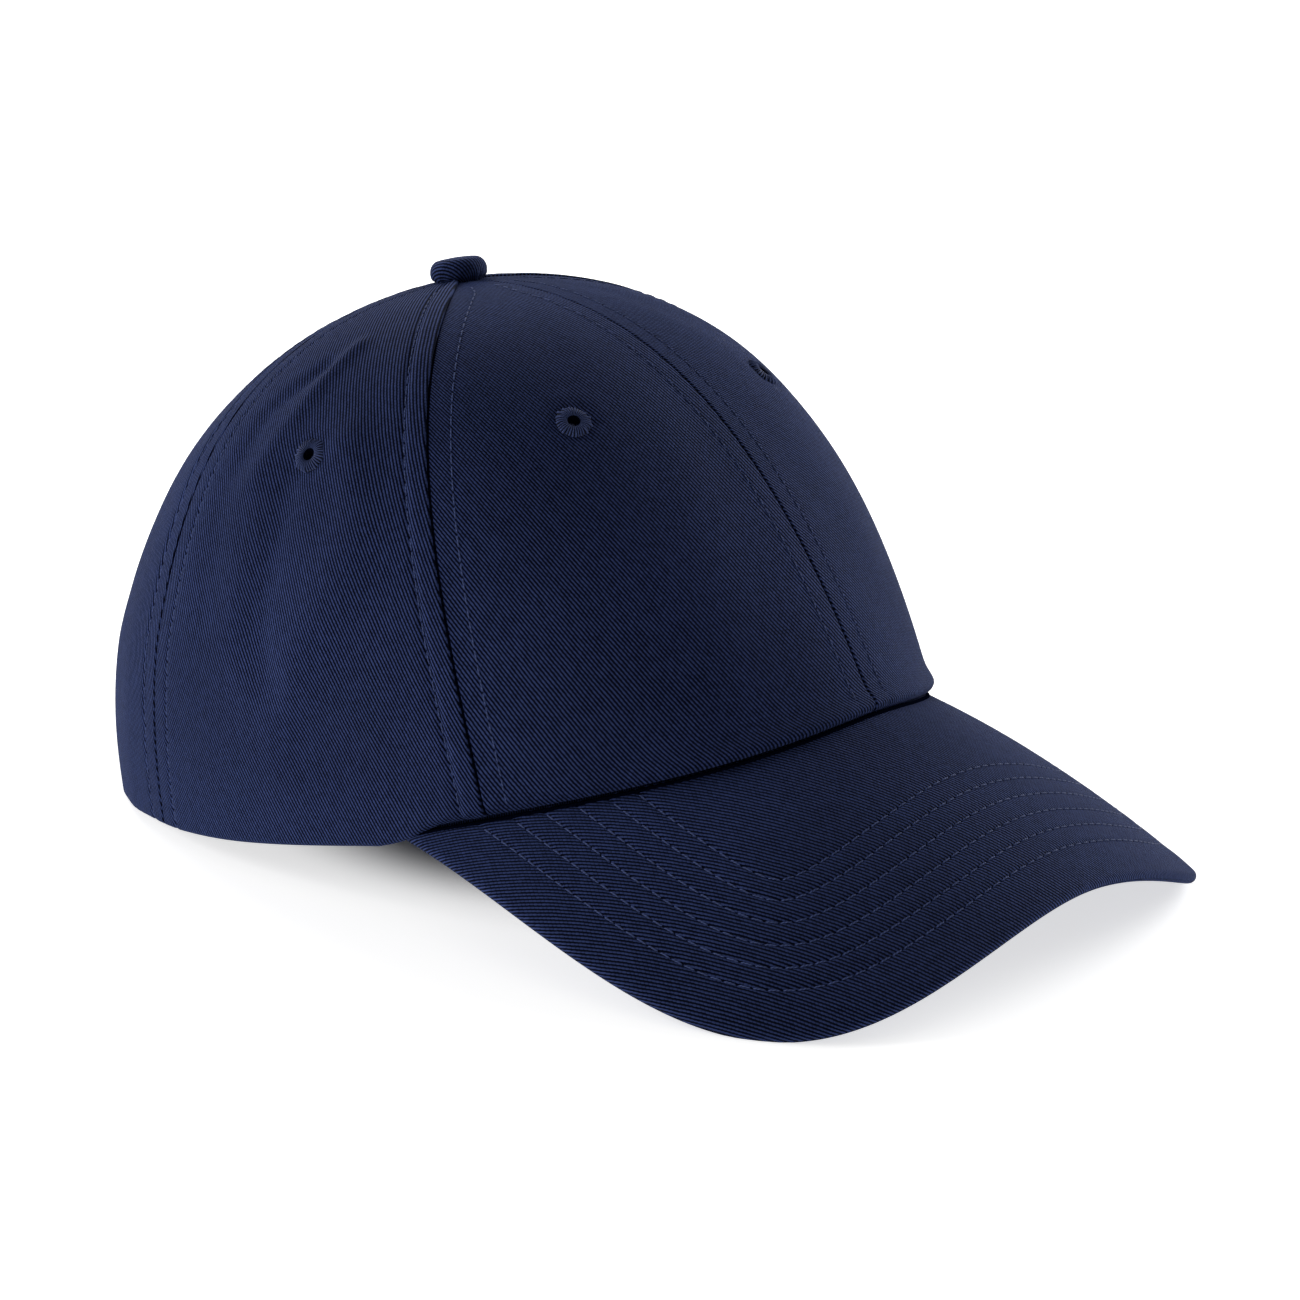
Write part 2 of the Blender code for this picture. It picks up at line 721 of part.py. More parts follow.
ear_bottom = 10.6 * MM
ear_top = 11.6 * MM
base_out = 1.4 * MM
base_in = 2.2 * MM
loop_in = 5.5 * MM
buckle = box(
    "buckle_frame", (-8.0 * MM, base_out, -ear_top), (8.0 * MM, base_in, ear_top),
    brass, cap_parts, buckle_frame,
)
lever_reach = LEVER_PIN_OUT + 1.6 * MM
for index, (low, high) in enumerate((
    ((-8.0 * MM, -lever_reach, ear_bottom), (6.0 * MM, base_in, ear_top)),
    ((-8.0 * MM, -lever_reach, -ear_top), (6.0 * MM, base_in, -ear_bottom)),
    ((7.0 * MM, base_out, ear_bottom - 0.6 * MM), (12.6 * MM, loop_in, ear_top)),
    ((7.0 * MM, base_out, -ear_top), (12.6 * MM, loop_in, 0.6 * MM - ear_bottom)),
    ((11.2 * MM, loop_in - 0.9 * MM, -ear_top), (12.6 * MM, loop_in, ear_top)),
)):
    block = tool(box(f"buckle_block_{index}", low, high, None, helpers, buckle_frame))
    combine(buckle, block, "UNION")
pin_drill = tool(
    cylinder("pin_drill", LEVER_PIN_RADIUS + 0.3 * MM, 40.0 * MM, 20, None, helpers, buckle_frame)
)
pin_drill.location = (LEVER_PIN_ALONG, -LEVER_PIN_OUT, 0.0)
combine(buckle, pin_drill, "DIFFERENCE")

pin = cylinder(
    "buckle_hinge_pin", LEVER_PIN_RADIUS, 23.8 * MM, 16, steel, cap_parts, buckle_frame
)
pin.location = (LEVER_PIN_ALONG, -LEVER_PIN_OUT, 0.0)


def lever_outline():
    """Plan of the lever about its pin: a round knuckle with a plate that runs along the strap."""
    knuckle = 2.0 * MM
    half = 0.7 * MM
    start = math.asin(half / knuckle)
    turns = [start + (math.tau - 2.0 * start) * index / 20 for index in range(21)]
    outline = [(knuckle * math.cos(turn), knuckle * math.sin(turn)) for turn in turns]
    outline += [(8.5 * MM, -half), (10.6 * MM, -1.7 * MM), (10.9 * MM, -0.5 * MM)]
    outline += [(9.0 * MM, half)]
    return outline


lever = flat_outline("buckle_lever", lever_outline(), 10.2 * MM, brass, buckle_frame)
lever.location = (LEVER_PIN_ALONG, -LEVER_PIN_OUT, 0.0)
bore = lever.data.splines.new("POLY")
bore.points.add(15)
for index, point in enumerate(bore.points):
    turn = -math.tau * index / 16
    radius = LEVER_PIN_RADIUS + 0.3 * MM
    point.co = (radius * math.cos(turn), radius * math.sin(turn), 0.0, 1.0)
bore.use_cyclic_u = True


def tab_outline():
    """Plan of the buckle tab: a strip folded round the buckle's loop bar, about the strap's centre."""
    bar_angle = BUCKLE_ANGLE - 9.1
    outer = STRAP_RADIUS - 2.35 * MM
    inner = outer - 0.75 * MM
    fold_outer = inner - 2.25 * MM
    fold_inner = fold_outer - 0.75 * MM
    pocket = -44.0
    tail = BUCKLE_ANGLE - 13.5
    outline = [on_strap_circle(pocket + (bar_angle + 1.1 - pocket) * i / 8, outer) for i in range(9)]
    outline += [on_strap_circle(bar_angle + 1.75, (outer + inner) / 2.0 - 0.3 * MM)]
    outline += [on_strap_circle(bar_angle + 1.75, (fold_outer + fold_inner) / 2.0 + 0.3 * MM)]
    outline += [on_strap_circle(bar_angle + 1.1, fold_inner)]
    outline += [on_strap_circle(tail, fold_inner), on_strap_circle(tail, fold_outer)]
    outline += [on_strap_circle(bar_angle + 0.95, fold_outer)]
    outline += [on_strap_circle(bar_angle + 0.95, inner)]
    outline += [on_strap_circle(tail, inner)]
    outline += [on_strap_circle(tail + (pocket - tail) * i / 5, inner) for i in range(1, 6)]
    return outline


flat_outline("buckle_tab", tab_outline(), 8.6 * MM, navy_twill, strap_frame)


def label_place(across, up_share):
    angle = math.radians(128.0 + 14.0 * across)
    return crown_layer(angle, 0.035 + 0.085 * up_share, SWEATBAND_BACK_DEPTH + SWEATBAND_THICKNESS + 0.5 * MM)


sheet("care_label", 4, 2, label_place, 0.3 * MM, label_cloth)

# The lowest edges are pressed flat where the cap stands
floor_block = tool(
    box("floor_block", (-0.2, -0.3, -0.05), (0.2, 0.3, 0.0), None, helpers, None)
)
for item in (
    under_cover,
    top_cover,
    panels["back_panel_left"],
    panels["back_panel_right"],
    panels["side_panel_left"],
    panels["side_panel_right"],
):
    combine(item, floor_block, "DIFFERENCE")
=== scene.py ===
"""Looks of the navy twill baseball cap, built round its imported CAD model. Metres, +Z up."""
import math

import bmesh
import bpy
import numpy as np
from mathutils import Matrix, Vector


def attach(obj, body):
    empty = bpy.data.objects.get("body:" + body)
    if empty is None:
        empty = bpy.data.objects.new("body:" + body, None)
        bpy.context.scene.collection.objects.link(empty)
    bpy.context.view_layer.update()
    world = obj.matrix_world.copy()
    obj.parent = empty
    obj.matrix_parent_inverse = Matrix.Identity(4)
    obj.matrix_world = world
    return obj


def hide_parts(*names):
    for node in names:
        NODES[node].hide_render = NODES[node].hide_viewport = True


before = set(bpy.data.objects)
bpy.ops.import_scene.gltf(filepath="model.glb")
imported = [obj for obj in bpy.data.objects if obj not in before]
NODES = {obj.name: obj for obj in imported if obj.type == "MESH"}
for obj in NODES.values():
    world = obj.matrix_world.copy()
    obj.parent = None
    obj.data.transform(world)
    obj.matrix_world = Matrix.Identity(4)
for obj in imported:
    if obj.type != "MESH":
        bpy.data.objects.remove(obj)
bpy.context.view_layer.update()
MM = 0.001

# Crown and visor: the shape that the CAD part has
HEM_HALF_LENGTH = 104.0 * MM
HEM_HALF_WIDTH = 82.6 * MM
HEM_SQUARENESS = 2.167
HEM_EGG = 0.065
CROWN_HEIGHT = 118.9 * MM
CROWN_TOP_Y = 7.8 * MM
WALL_REACH = (0.709, -0.054, -0.128)
DOME_REACH = (0.462, 0.190, -0.086)
WALL_BULGE = (0.0045, -0.0844, -0.0805)
SIDE_DIP = 1.3 * MM
BACK_RISE = 5.1 * MM
FRONT_SEAM = (63.9, 4.8)
BACK_SEAM = (118.6, -3.5)
VISOR_CORNER_ANGLE = 73.7
VISOR_PROJECTION = 53.4 * MM
VISOR_THICKNESS = 3.2 * MM
VISOR_SLOPE = 0.493
VISOR_SAG = 3.26
VISOR_SIDE_DROP = 21.0 * MM
VISOR_DROP_AT = 60.0 * MM
VISOR_DROP_POWER = 1.787
VISOR_CROWN_WIDTH = 14.0 * MM
VISOR_FLARE = 17.2
VISOR_SIDE_HANDLE = 83.8 * MM
VISOR_FRONT_HANDLE = 98.8 * MM
HEM_CLEARANCE = 0.1 * MM
PANEL_THICKNESS = 1.0 * MM
BUTTON_RADIUS = 6.9 * MM
BUTTON_HEIGHT = 5.4 * MM
BUTTON_LEAN = 3.0
FRONT_EYELETS = ((-41.5, 0.50), (37.0, 0.51))
SIDE_EYELETS = ((-89.5, 0.425), (89.5, 0.425))
BACK_EYELETS = ((-150.0, 0.45), (150.0, 0.45))
OPENING_HALF_WIDTH = 45.0 * MM
OPENING_HEIGHT = 43.0 * MM
OPENING_BASE = 5.0 * MM
STRAP_CENTRE_Y = 19.0 * MM
STRAP_RADIUS = 81.5 * MM
STRAP_HEIGHT = 18.0 * MM
TIP_BACK = 10.28
FRAME_FORWARD = 25.43 * MM
FRAME_LIFT = 12.65 * MM

# Sewing
STITCH_OFFSET = 5.5
STITCH_PITCH = 3.3 * MM
VISOR_ROWS = (11.9, 17.7, 23.5, 29.5, 35.5, 41.1)
TWILL_PITCH = 0.86 * MM
SIDE_FINENESS = 1.10
FRONT_GRAIN = -60.0
SIDE_GRAIN = -66.0
VISOR_GRAIN = -69.0
STRAP_GRAIN = -50.0


# Shape

def smooth_step(value):
    value = np.clip(value, 0.0, 1.0)
    return value * value * (3.0 - 2.0 * value)


def bump(value, centre, width):
    return np.exp(-(((value - centre) / width) ** 2))


def hem_oval(angle):
    sine = np.sin(angle)
    cosine = np.cos(angle)
    power = np.abs(sine) ** HEM_SQUARENESS + np.abs(cosine) ** HEM_SQUARENESS
    reach = power ** (-1.0 / HEM_SQUARENESS)
    x = HEM_HALF_WIDTH * reach * sine * (1.0 - HEM_EGG * cosine)
    return x, -HEM_HALF_LENGTH * reach * cosine


def visor_rise(x, y):
    forward = -HEM_HALF_LENGTH - y
    reach = np.hypot(x, VISOR_CROWN_WIDTH) ** VISOR_DROP_POWER
    reach -= VISOR_CROWN_WIDTH ** VISOR_DROP_POWER
    drop = VISOR_SIDE_DROP * reach / VISOR_DROP_AT ** VISOR_DROP_POWER
    return -VISOR_SLOPE * forward - VISOR_SAG * forward * forward - drop


VISOR_CORNER = hem_oval(math.radians(VISOR_CORNER_ANGLE))
VISOR_CORNER_RISE = visor_rise(*VISOR_CORNER)


def visor_height(x, y):
    return visor_rise(x, y) - VISOR_CORNER_RISE


def visor_normal(x, y):
    step = 0.1 * MM
    across = (visor_height(x + step, y) - visor_height(x - step, y)) / (2.0 * step)
    along = (visor_height(x, y + step) - visor_height(x, y - step)) / (2.0 * step)
    normal = np.stack([-across, -along, np.ones_like(across)], -1)
    return normal / np.linalg.norm(normal, axis=-1, keepdims=True)


def turn_degrees(angle):
    return np.degrees(np.abs((angle + np.pi) % (2.0 * np.pi) - np.pi))


def hem_height(angle):
    degrees = turn_degrees(angle)
    side = -SIDE_DIP * np.exp(-(((degrees - 105.0) / 22.0) ** 2))
    back = BACK_RISE * (1.0 - np.cos(np.pi * np.clip((degrees - 100.0) / 80.0, 0.0, 1.0))) / 2.0
    x, y = hem_oval(np.radians(np.minimum(degrees, VISOR_CORNER_ANGLE)))
    over_visor = visor_height(x, y) + VISOR_THICKNESS / 2.0 / visor_normal(x, y)[..., 2]
    over_visor += HEM_CLEARANCE
    blend = smooth_step((degrees - VISOR_CORNER_ANGLE) / 6.0)
    return over_visor * (1.0 - blend) + (side + back) * blend


def waves(weights, angle):
    return weights[0] + weights[1] * np.cos(angle) + weights[2] * np.cos(2.0 * angle)


def crown_point(angle, up):
    angle, up = np.broadcast_arrays(np.asarray(angle, float), np.asarray(up, float))
    hem_x, hem_y = hem_oval(angle)
    base = hem_height(angle)
    rest = 1.0 - up
    radial = rest ** 3
    radial += 3.0 * rest * rest * up * (1.0 + waves(WALL_BULGE, angle))
    radial += 3.0 * rest * up * up * waves(DOME_REACH, angle)
    shoulder = base + waves(WALL_REACH, angle) * (CROWN_HEIGHT - base)
    height = rest ** 3 * base + 3.0 * rest * rest * up * shoulder
    height += (3.0 * rest * up * up + up ** 3) * CROWN_HEIGHT
    y = CROWN_TOP_Y + (hem_y - CROWN_TOP_Y) * radial
    return np.stack([hem_x * radial, y, height], -1)


def crown_normal(angle, up):
    step = 0.002
    up = np.asarray(up, float)
    low = np.maximum(up - step, 0.0)
    high = np.minimum(up + step, 0.999)
    around = crown_point(angle + step, up) - crown_point(angle - step, up)
    upward = crown_point(angle, high) - crown_point(angle, low)
    normal = np.cross(around, upward)
    return normal / np.maximum(np.linalg.norm(normal, axis=-1, keepdims=True), 1e-12)


def crown_layer(angle, up, depth):
    """Points this many mm below the crown's face."""
    return crown_point(angle, up) - np.asarray(depth * MM)[..., None] * crown_normal(angle, up)


def top_distance(angle, up):
    point = crown_point(angle, up)
    return np.hypot(point[..., 0], point[..., 1] - CROWN_TOP_Y)


def last_before(low, high, before, rounds):
    """Halves the range from low to high until it closes on the last place where before is true."""
    for _ in range(rounds):
        middle = (low + high) / 2.0
        short = before(middle)
        low = np.where(short, middle, low)
        high = np.where(short, high, middle)
    return low


def up_at_radius(angle, radius):
    low, high = np.full(np.shape(angle), 0.5), np.ones(np.shape(angle))
    return last_before(low, high, lambda up: top_distance(angle, up) > radius, 30)


def up_at_height(angle, height):
    low, high = np.zeros(np.shape(angle)), np.ones(np.shape(angle))
    return last_before(low, high, lambda up: crown_point(angle, up)[..., 2] < height, 26)


def seam_angle(seam, up):
    return np.radians(seam[0] + seam[1] * 4.0 * up * (1.0 - up))


BACK_WALL_START = math.radians(130.0)


def back_wall(x, z):
    """Angle and share of the way up of the crown's back at this x and height."""

    def outside(angle):
        return crown_point(angle, up_at_height(angle, z))[..., 0] > np.abs(x)

    low, high = np.full(np.shape(x), BACK_WALL_START), np.full(np.shape(x), math.pi)
    angle = last_before(low, high, outside, 26)
    return np.copysign(angle, x), up_at_height(angle, z)


def to_world(points):
    tip = math.radians(TIP_BACK)
    x, y, z = points[..., 0], points[..., 1], points[..., 2]
    forward = y * math.cos(tip) + z * math.sin(tip) + FRAME_FORWARD
    height = z * math.cos(tip) - y * math.sin(tip) + FRAME_LIFT
    return np.stack([x, forward, height], -1)


def turn_to_world(directions):
    return to_world(directions) - to_world(np.zeros(3))


def on_grain(uvs, degrees):
    """Turns lengths across and up a piece into lengths across and along the twill's ribs."""
    cosine, sine = math.cos(math.radians(degrees)), math.sin(math.radians(degrees))
    across, up = uvs[..., 0], uvs[..., 1]
    return np.stack([up * cosine - across * sine, across * cosine + up * sine], -1)


def ripple(value, seed, wave):
    """A smooth wander between about -1 and 1 that does not visibly repeat."""
    total = np.sin(value / wave + seed * 1.7)
    total += 0.6 * np.sin(value / wave * 1.83 + seed * 2.9 + 1.0)
    return (total + 0.4 * np.sin(value / wave * 3.17 + seed * 4.1 + 2.0)) / 2.0


# Meshes

def build(name, points, faces, uvs, material):
    """A smooth-shaded mesh; uvs are lengths over the cloth, one pair for each point."""
    mesh = bpy.data.meshes.new(name)
    mesh.from_pydata(points.tolist(), [], [list(map(int, face)) for face in faces])
    corners = np.zeros(len(mesh.loops), np.int32)
    mesh.loops.foreach_get("vertex_index", corners)
    layer = mesh.uv_layers.new(name="cloth")
    layer.data.foreach_set("uv", uvs[corners].astype(np.float32).ravel())
    mesh.materials.append(material)
    mesh.shade_smooth()
    item = bpy.data.objects.new(name, mesh)
    bpy.context.scene.collection.objects.link(item)
    return item


def grid_faces(rows, columns, start=0, wrap=False):
    last = columns if wrap else columns - 1
    row = np.arange(rows - 1)[:, None] * columns
    column = np.arange(last)[None, :]
    following = (column + 1) % columns
    faces = np.stack([row + column, row + following, row + columns + following, row + columns + column], -1)
    return faces.reshape(-1, 4) + start


def shell(name, outer, inner, uvs, material, rests_on, held="stretched"):
    """A closed sheet between two grids of points; rows go up and columns go to the outer face's right."""
    rows, columns = outer.shape[:2]
    count = rows * columns
    faces = grid_faces(rows, columns)
    back = grid_faces(rows, columns, count)[:, ::-1]
    ids = np.arange(count).reshape(rows, columns)
    rim = np.concatenate([ids[0, :], ids[1:, -1], ids[-1, -2::-1], ids[-2:0:-1, 0]])
    after = np.roll(rim, -1)
    wall = np.stack([rim, rim + count, after + count, after], -1)
    points = np.concatenate([outer.reshape(-1, 3), inner.reshape(-1, 3)])
    points[:, 2] = np.maximum(points[:, 2], 0.0)
    both_uvs = np.concatenate([uvs.reshape(-1, 2), uvs.reshape(-1, 2)])
    item = build(name, points, np.concatenate([faces, back, wall]), both_uvs, material)
    return item


def path_lengths(path):
    steps = np.linalg.norm(np.diff(path, axis=0), axis=1)
    return np.concatenate([[0.0], np.cumsum(steps)])


def along_path(path, lengths, places):
    return np.stack([np.interp(places, lengths, path[:, axis]) for axis in range(3)], -1)


def unit(vectors):
    return vectors / np.maximum(np.linalg.norm(vectors, axis=-1, keepdims=True), 1e-12)


class Thread:
    """Collects stitches, each one a short arched length of thread, into one piece."""
    ROUND = 7
    STEPS = np.array([0.0, 0.10, 0.28, 0.5, 0.72, 0.90, 1.0])

    def __init__(self):
        self.points = []
        self.uvs = []

    def add(self, starts, ends, normals, radius, sink=1.1, proud=0.55):
        share = self.STEPS[None, :, None]
        ends_fade = np.abs(2.0 * self.STEPS - 1.0)
        lift = radius * (proud - (sink + proud) * ends_fade ** 4)
        centre = starts[:, None] * (1.0 - share) + ends[:, None] * share
        centre += normals[:, None] * lift[None, :, None]
        tangent = unit(ends - starts)
        side = unit(np.cross(normals, tangent))
        up = np.cross(tangent, side)
        turn = np.arange(self.ROUND) / self.ROUND * 2.0 * np.pi
        thick = radius * (1.0 - 0.45 * ends_fade ** 5)
        ring = side[:, None, None] * np.cos(turn)[None, None, :, None]
        ring += up[:, None, None] * np.sin(turn)[None, None, :, None] * 0.85
        made = centre[:, :, None] + ring * thick[None, :, None, None]
        self.points.append(made)
        length = np.linalg.norm(ends - starts, axis=-1)
        uv = np.zeros(made.shape[:3] + (2,))
        uv[..., 0] = (turn * radius)[None, None, :]
        uv[..., 1] = self.STEPS[None, :, None] * length[:, None, None]
        self.uvs.append(uv)

    def row(self, path, normals, radius, pitch=STITCH_PITCH, share=0.90, hole_shade=None, **shape):
        """A row of stitches along a path; a sunk near-black thread between them is painted shade in the
        needle holes.
        """
        lengths = path_lengths(path)
        count = int(lengths[-1] / pitch)
        first = np.arange(count) * pitch + (lengths[-1] - count * pitch) / 2.0
        starts = along_path(path, lengths, first + pitch * (1.0 - share) / 2.0)
        ends = along_path(path, lengths, first + pitch * (1.0 + share) / 2.0)
        middle = unit(along_path(normals, lengths, first + pitch / 2.0))
        self.add(starts, ends, middle, radius, **shape)
        # Painted shade: a sunk near-black thread stands for the shade in each needle hole between stitches.
        if hole_shade is not None:
            hole_shade.add(ends[:-1], starts[1:], middle[1:], radius * 1.05, sink=0.9, proud=-0.25)

    def build(self, name, material):
        made = np.concatenate(self.points)
        uvs = np.concatenate(self.uvs)
        stitches, steps, sides = made.shape[:3]
        one = grid_faces(steps, sides, wrap=True)
        size = steps * sides
        faces = (one[None] + (np.arange(stitches) * size)[:, None, None]).reshape(-1, 4)
        caps = []
        for stitch in range(stitches):
            caps.append(list(range(stitch * size + sides - 1, stitch * size - 1, -1)))
            caps.append(list(range((stitch + 1) * size - sides, (stitch + 1) * size)))
        faces = faces.tolist() + caps
        return build(name, made.reshape(-1, 3), faces, uvs.reshape(-1, 2), material)


# Materials

class Nodes:
    """A material's node tree, with short calls for the maths that a pattern needs."""

    def __init__(self, name):
        self.material = bpy.data.materials.new(name)
        self.material.use_nodes = True
        self.tree = self.material.node_tree
        self.shader = self.tree.nodes["Principled BSDF"]

    def add(self, kind, **values):
        node = self.tree.nodes.new(kind)
        for key, value in values.items():
            setattr(node, key, value)
        return node

    def put(self, socket, value):
        if isinstance(value, bpy.types.NodeSocket):
            self.tree.links.new(value, socket)
        else:
            socket.default_value = value

    def math(self, operation, first, second=0.0, third=0.0):
        node = self.add("ShaderNodeMath", operation=operation)
        for socket, value in zip(node.inputs, (first, second, third)):
            self.put(socket, value)
        return node.outputs[0]

    def mix(self, share, first, second):
        node = self.add("ShaderNodeMix", data_type="RGBA")
        self.put(node.inputs["Factor"], share)
        self.put(node.inputs[6], first)
        self.put(node.inputs[7], second)
        return node.outputs[2]

    def range(self, value, low, high, to_low=0.0, to_high=1.0):
        node = self.add("ShaderNodeMapRange")
        node.interpolation_type = "SMOOTHSTEP"
        for index, entry in enumerate((value, low, high, to_low, to_high)):
            self.put(node.inputs[index], entry)
        return node.outputs[0]

    def place(self):
        return self.add("ShaderNodeTexCoord").outputs["Object"]

    def noise(self, scale, detail=2.0):
        node = self.add("ShaderNodeTexNoise")
        self.put(node.inputs["Vector"], self.place())
        node.inputs["Scale"].default_value = scale
        node.inputs["Detail"].default_value = detail
        return node.outputs["Fac"]

    def cloth(self):
        """The two lengths, in metres, that lie flat along the piece's own fabric."""
        split = self.add("ShaderNodeSeparateXYZ")
        self.put(split.inputs[0], self.add("ShaderNodeUVMap", uv_map="cloth").outputs[0])
        return split.outputs[0], split.outputs[1]

    def finish(self, colour, roughness, height=None, distance=0.0001, strength=1.0, **plain):
        self.put(self.shader.inputs["Base Color"], colour)
        self.put(self.shader.inputs["Roughness"], roughness)
        for name, value in plain.items():
            self.put(self.shader.inputs[name.replace("_", " ")], value)
        if height is not None:
            node = self.add("ShaderNodeBump")
            node.inputs["Distance"].default_value = distance
            node.inputs["Strength"].default_value = strength
            self.put(node.inputs["Height"], height)
            self.put(self.shader.inputs["Normal"], node.outputs[0])
        return self.material


def colour(red, green, blue):
    return (red, green, blue, 1.0)


def twill(name, dark, light, pitch=TWILL_PITCH, sheen=0.08, depth=0.20 * MM):
    """Cotton twill: ribs, each one a chain of short yarn floats."""
    n = Nodes(name)
    u, v = n.cloth()
    wander = n.noise(260.0, 2.0)
    across = n.math("MULTIPLY_ADD", wander, 0.25, n.math("MULTIPLY", u, 1.0 / pitch))
    along = n.math("MULTIPLY", v, 1.0 / pitch)
    rib = n.math("FLOOR", across)
    rib_share = n.math("FRACT", across)
    rib_height = n.math("SINE", n.math("MULTIPLY", rib_share, math.pi))
    rib_height = n.math("POWER", rib_height, 0.8)
    along = n.math("ADD", n.math("MULTIPLY", along, 0.83), n.math("MULTIPLY", rib, 0.37))
    float_share = n.math("FRACT", along)
    float_height = n.math("POWER", n.math("SINE", n.math("MULTIPLY", float_share, math.pi)), 0.45)
    yarn = n.add("ShaderNodeTexWhiteNoise", noise_dimensions="2D")
    spot = n.add("ShaderNodeCombineXYZ")
    n.put(spot.inputs[0], rib)
    n.put(spot.inputs[1], n.math("FLOOR", along))
    n.put(yarn.inputs["Vector"], spot.outputs[0])
    height = n.math("MULTIPLY", rib_height, n.math("MULTIPLY_ADD", float_height, 0.28, 0.72))
    tone = n.math("MULTIPLY_ADD", n.math("SUBTRACT", yarn.outputs[0], 0.5), 0.13, height)
    base = n.mix(n.range(tone, 0.60, 0.89), dark, light)
    broad = n.range(n.noise(22.0, 3.0), 0.3, 0.7, 0.90, 1.10)
    fine = n.range(n.noise(900.0, 2.0), 0.3, 0.7, 0.92, 1.08)
    level = n.add("ShaderNodeHueSaturation")
    n.put(level.inputs["Value"], n.math("MULTIPLY", broad, fine))
    n.put(level.inputs["Color"], base)
    rough = n.range(height, 0.0, 1.0, 0.95, 0.78)
    fuzz = n.math("MULTIPLY_ADD", n.noise(2600.0, 2.0), 0.35, height)
    return n.finish(
        level.outputs[0], rough, fuzz, distance=depth, Sheen_Weight=sheen, Sheen_Roughness=0.45,
        Sheen_Tint=colour(0.30, 0.42, 1.0), Specular_IOR_Level=0.045,
    )


def thread_material(name, dark, light, roughness=0.6, sheen=0.05, shine=0.12):
    """Twisted sewing thread: two plies that wind round each other."""
    n = Nodes(name)
    u, v = n.cloth()
    ply = n.math("ADD", n.math("MULTIPLY", v, 2.0 * math.pi / (0.9 * MM)), n.math("MULTIPLY", u, 9000.0))
    twist = n.math("MULTIPLY_ADD", n.math("SINE", ply), 0.5, 0.5)
    base = n.mix(twist, dark, light)
    return n.finish(
        base, n.range(twist, 0.0, 1.0, roughness + 0.2, roughness), twist, distance=0.05 * MM,
        Sheen_Weight=sheen, Sheen_Roughness=0.4, Specular_IOR_Level=shine,
    )


def plain_weave(name, dark, light, pitch, sheen=0.1, roughness=0.9, depth=0.08 * MM, gap=0.0):
    """Plain weave, over one and under one."""
    n = Nodes(name)
    u, v = n.cloth()
    first = n.math("SINE", n.math("MULTIPLY", u, math.pi / pitch))
    second = n.math("SINE", n.math("MULTIPLY", v, math.pi / pitch))
    height = n.math("MULTIPLY_ADD", n.math("MULTIPLY", first, second), 0.5, 0.5)
    wander = n.noise(700.0, 3.0)
    tone = n.math("MULTIPLY_ADD", n.math("SUBTRACT", wander, 0.5), 0.5, height)
    base = n.mix(n.range(tone, 0.05 + gap, 0.95), dark, light)
    return n.finish(
        base, roughness, n.math("MULTIPLY_ADD", wander, 0.3, height), distance=depth,
        Sheen_Weight=sheen, Sheen_Roughness=0.5, Specular_IOR_Level=0.25,
    )


def metal(name, dark, light, roughness):
    """Metal with worn patches and fine streaks."""
    n = Nodes(name)
    worn = n.range(n.noise(160.0, 6.0), 0.20, 0.62)
    streak = n.noise(2400.0, 3.0)
    base = n.mix(worn, dark, light)
    rough = n.math("MULTIPLY_ADD", streak, 0.25, roughness)
    return n.finish(
        base, rough, n.math("MULTIPLY_ADD", streak, 0.4, worn), distance=0.02 * MM, strength=0.6, Metallic=1.0
    )


NAVY_GAP = colour(0.0002, 0.0008, 0.0052)
NAVY_RIB = colour(0.0310, 0.0475, 0.1400)
navy = twill("navy_cotton_twill", NAVY_GAP, NAVY_RIB)
thread = thread_material("navy_thread", colour(0.028, 0.042, 0.115), colour(0.064, 0.090, 0.220))
# Near-black thread with no sheen or shine: painted shade, for the needle holes, the eyelets' hole barrels and
# the cords in the seam folds.
painted_shade_thread = thread_material(
    "shaded_thread", colour(0.0006, 0.0010, 0.0040), colour(0.0014, 0.0022, 0.0080), 0.8, 0.0, 0.0
)
band_cloth = twill(
    "sweatband_cotton", colour(0.0010, 0.0018, 0.0070), colour(0.016, 0.024, 0.070), 0.5 * MM, 0.12, 0.06 * MM
)
tape_cloth = plain_weave(
    "seam_tape_cotton", colour(0.002, 0.003, 0.010), colour(0.018, 0.026, 0.070), 0.45 * MM
)
buckram = plain_weave(
    "white_buckram", colour(0.20, 0.20, 0.19), colour(0.74, 0.74, 0.71), 0.8 * MM, gap=0.25, depth=0.2 * MM
)
satin = plain_weave(
    "label_satin", colour(0.50, 0.50, 0.48), colour(0.72, 0.72, 0.70), 0.22 * MM, sheen=0.3, roughness=0.5
)
brass = metal("antique_brass", colour(0.20, 0.140, 0.062), colour(0.40, 0.29, 0.14), 0.24)
steel = metal("zinc_plated_steel", colour(0.35, 0.36, 0.37), colour(0.58, 0.59, 0.60), 0.28)


def board_plastic():
    n = Nodes("visor_board_plastic")
    grain = n.noise(1500.0, 4.0)
    base = n.mix(grain, colour(0.50, 0.50, 0.47), colour(0.66, 0.66, 0.63))
    return n.finish(base, 0.5, grain, distance=0.03 * MM)


board = board_plastic()

# Camera, floor and light

FLOOR_WIDTH = 12.0
FLOOR_SHADE_OVAL = (0.080, 0.100)
CAMERA_LENS = 138.03
CAMERA_PLACE = (-0.90899, -0.68323, 0.38515)
CAMERA_RIGHT = (0.60738, -0.79282, 0.05023)
CAMERA_UP = (0.19670, 0.21135, 0.95742)
CAMERA_BACK = (-0.76967, -0.57164, 0.28431)


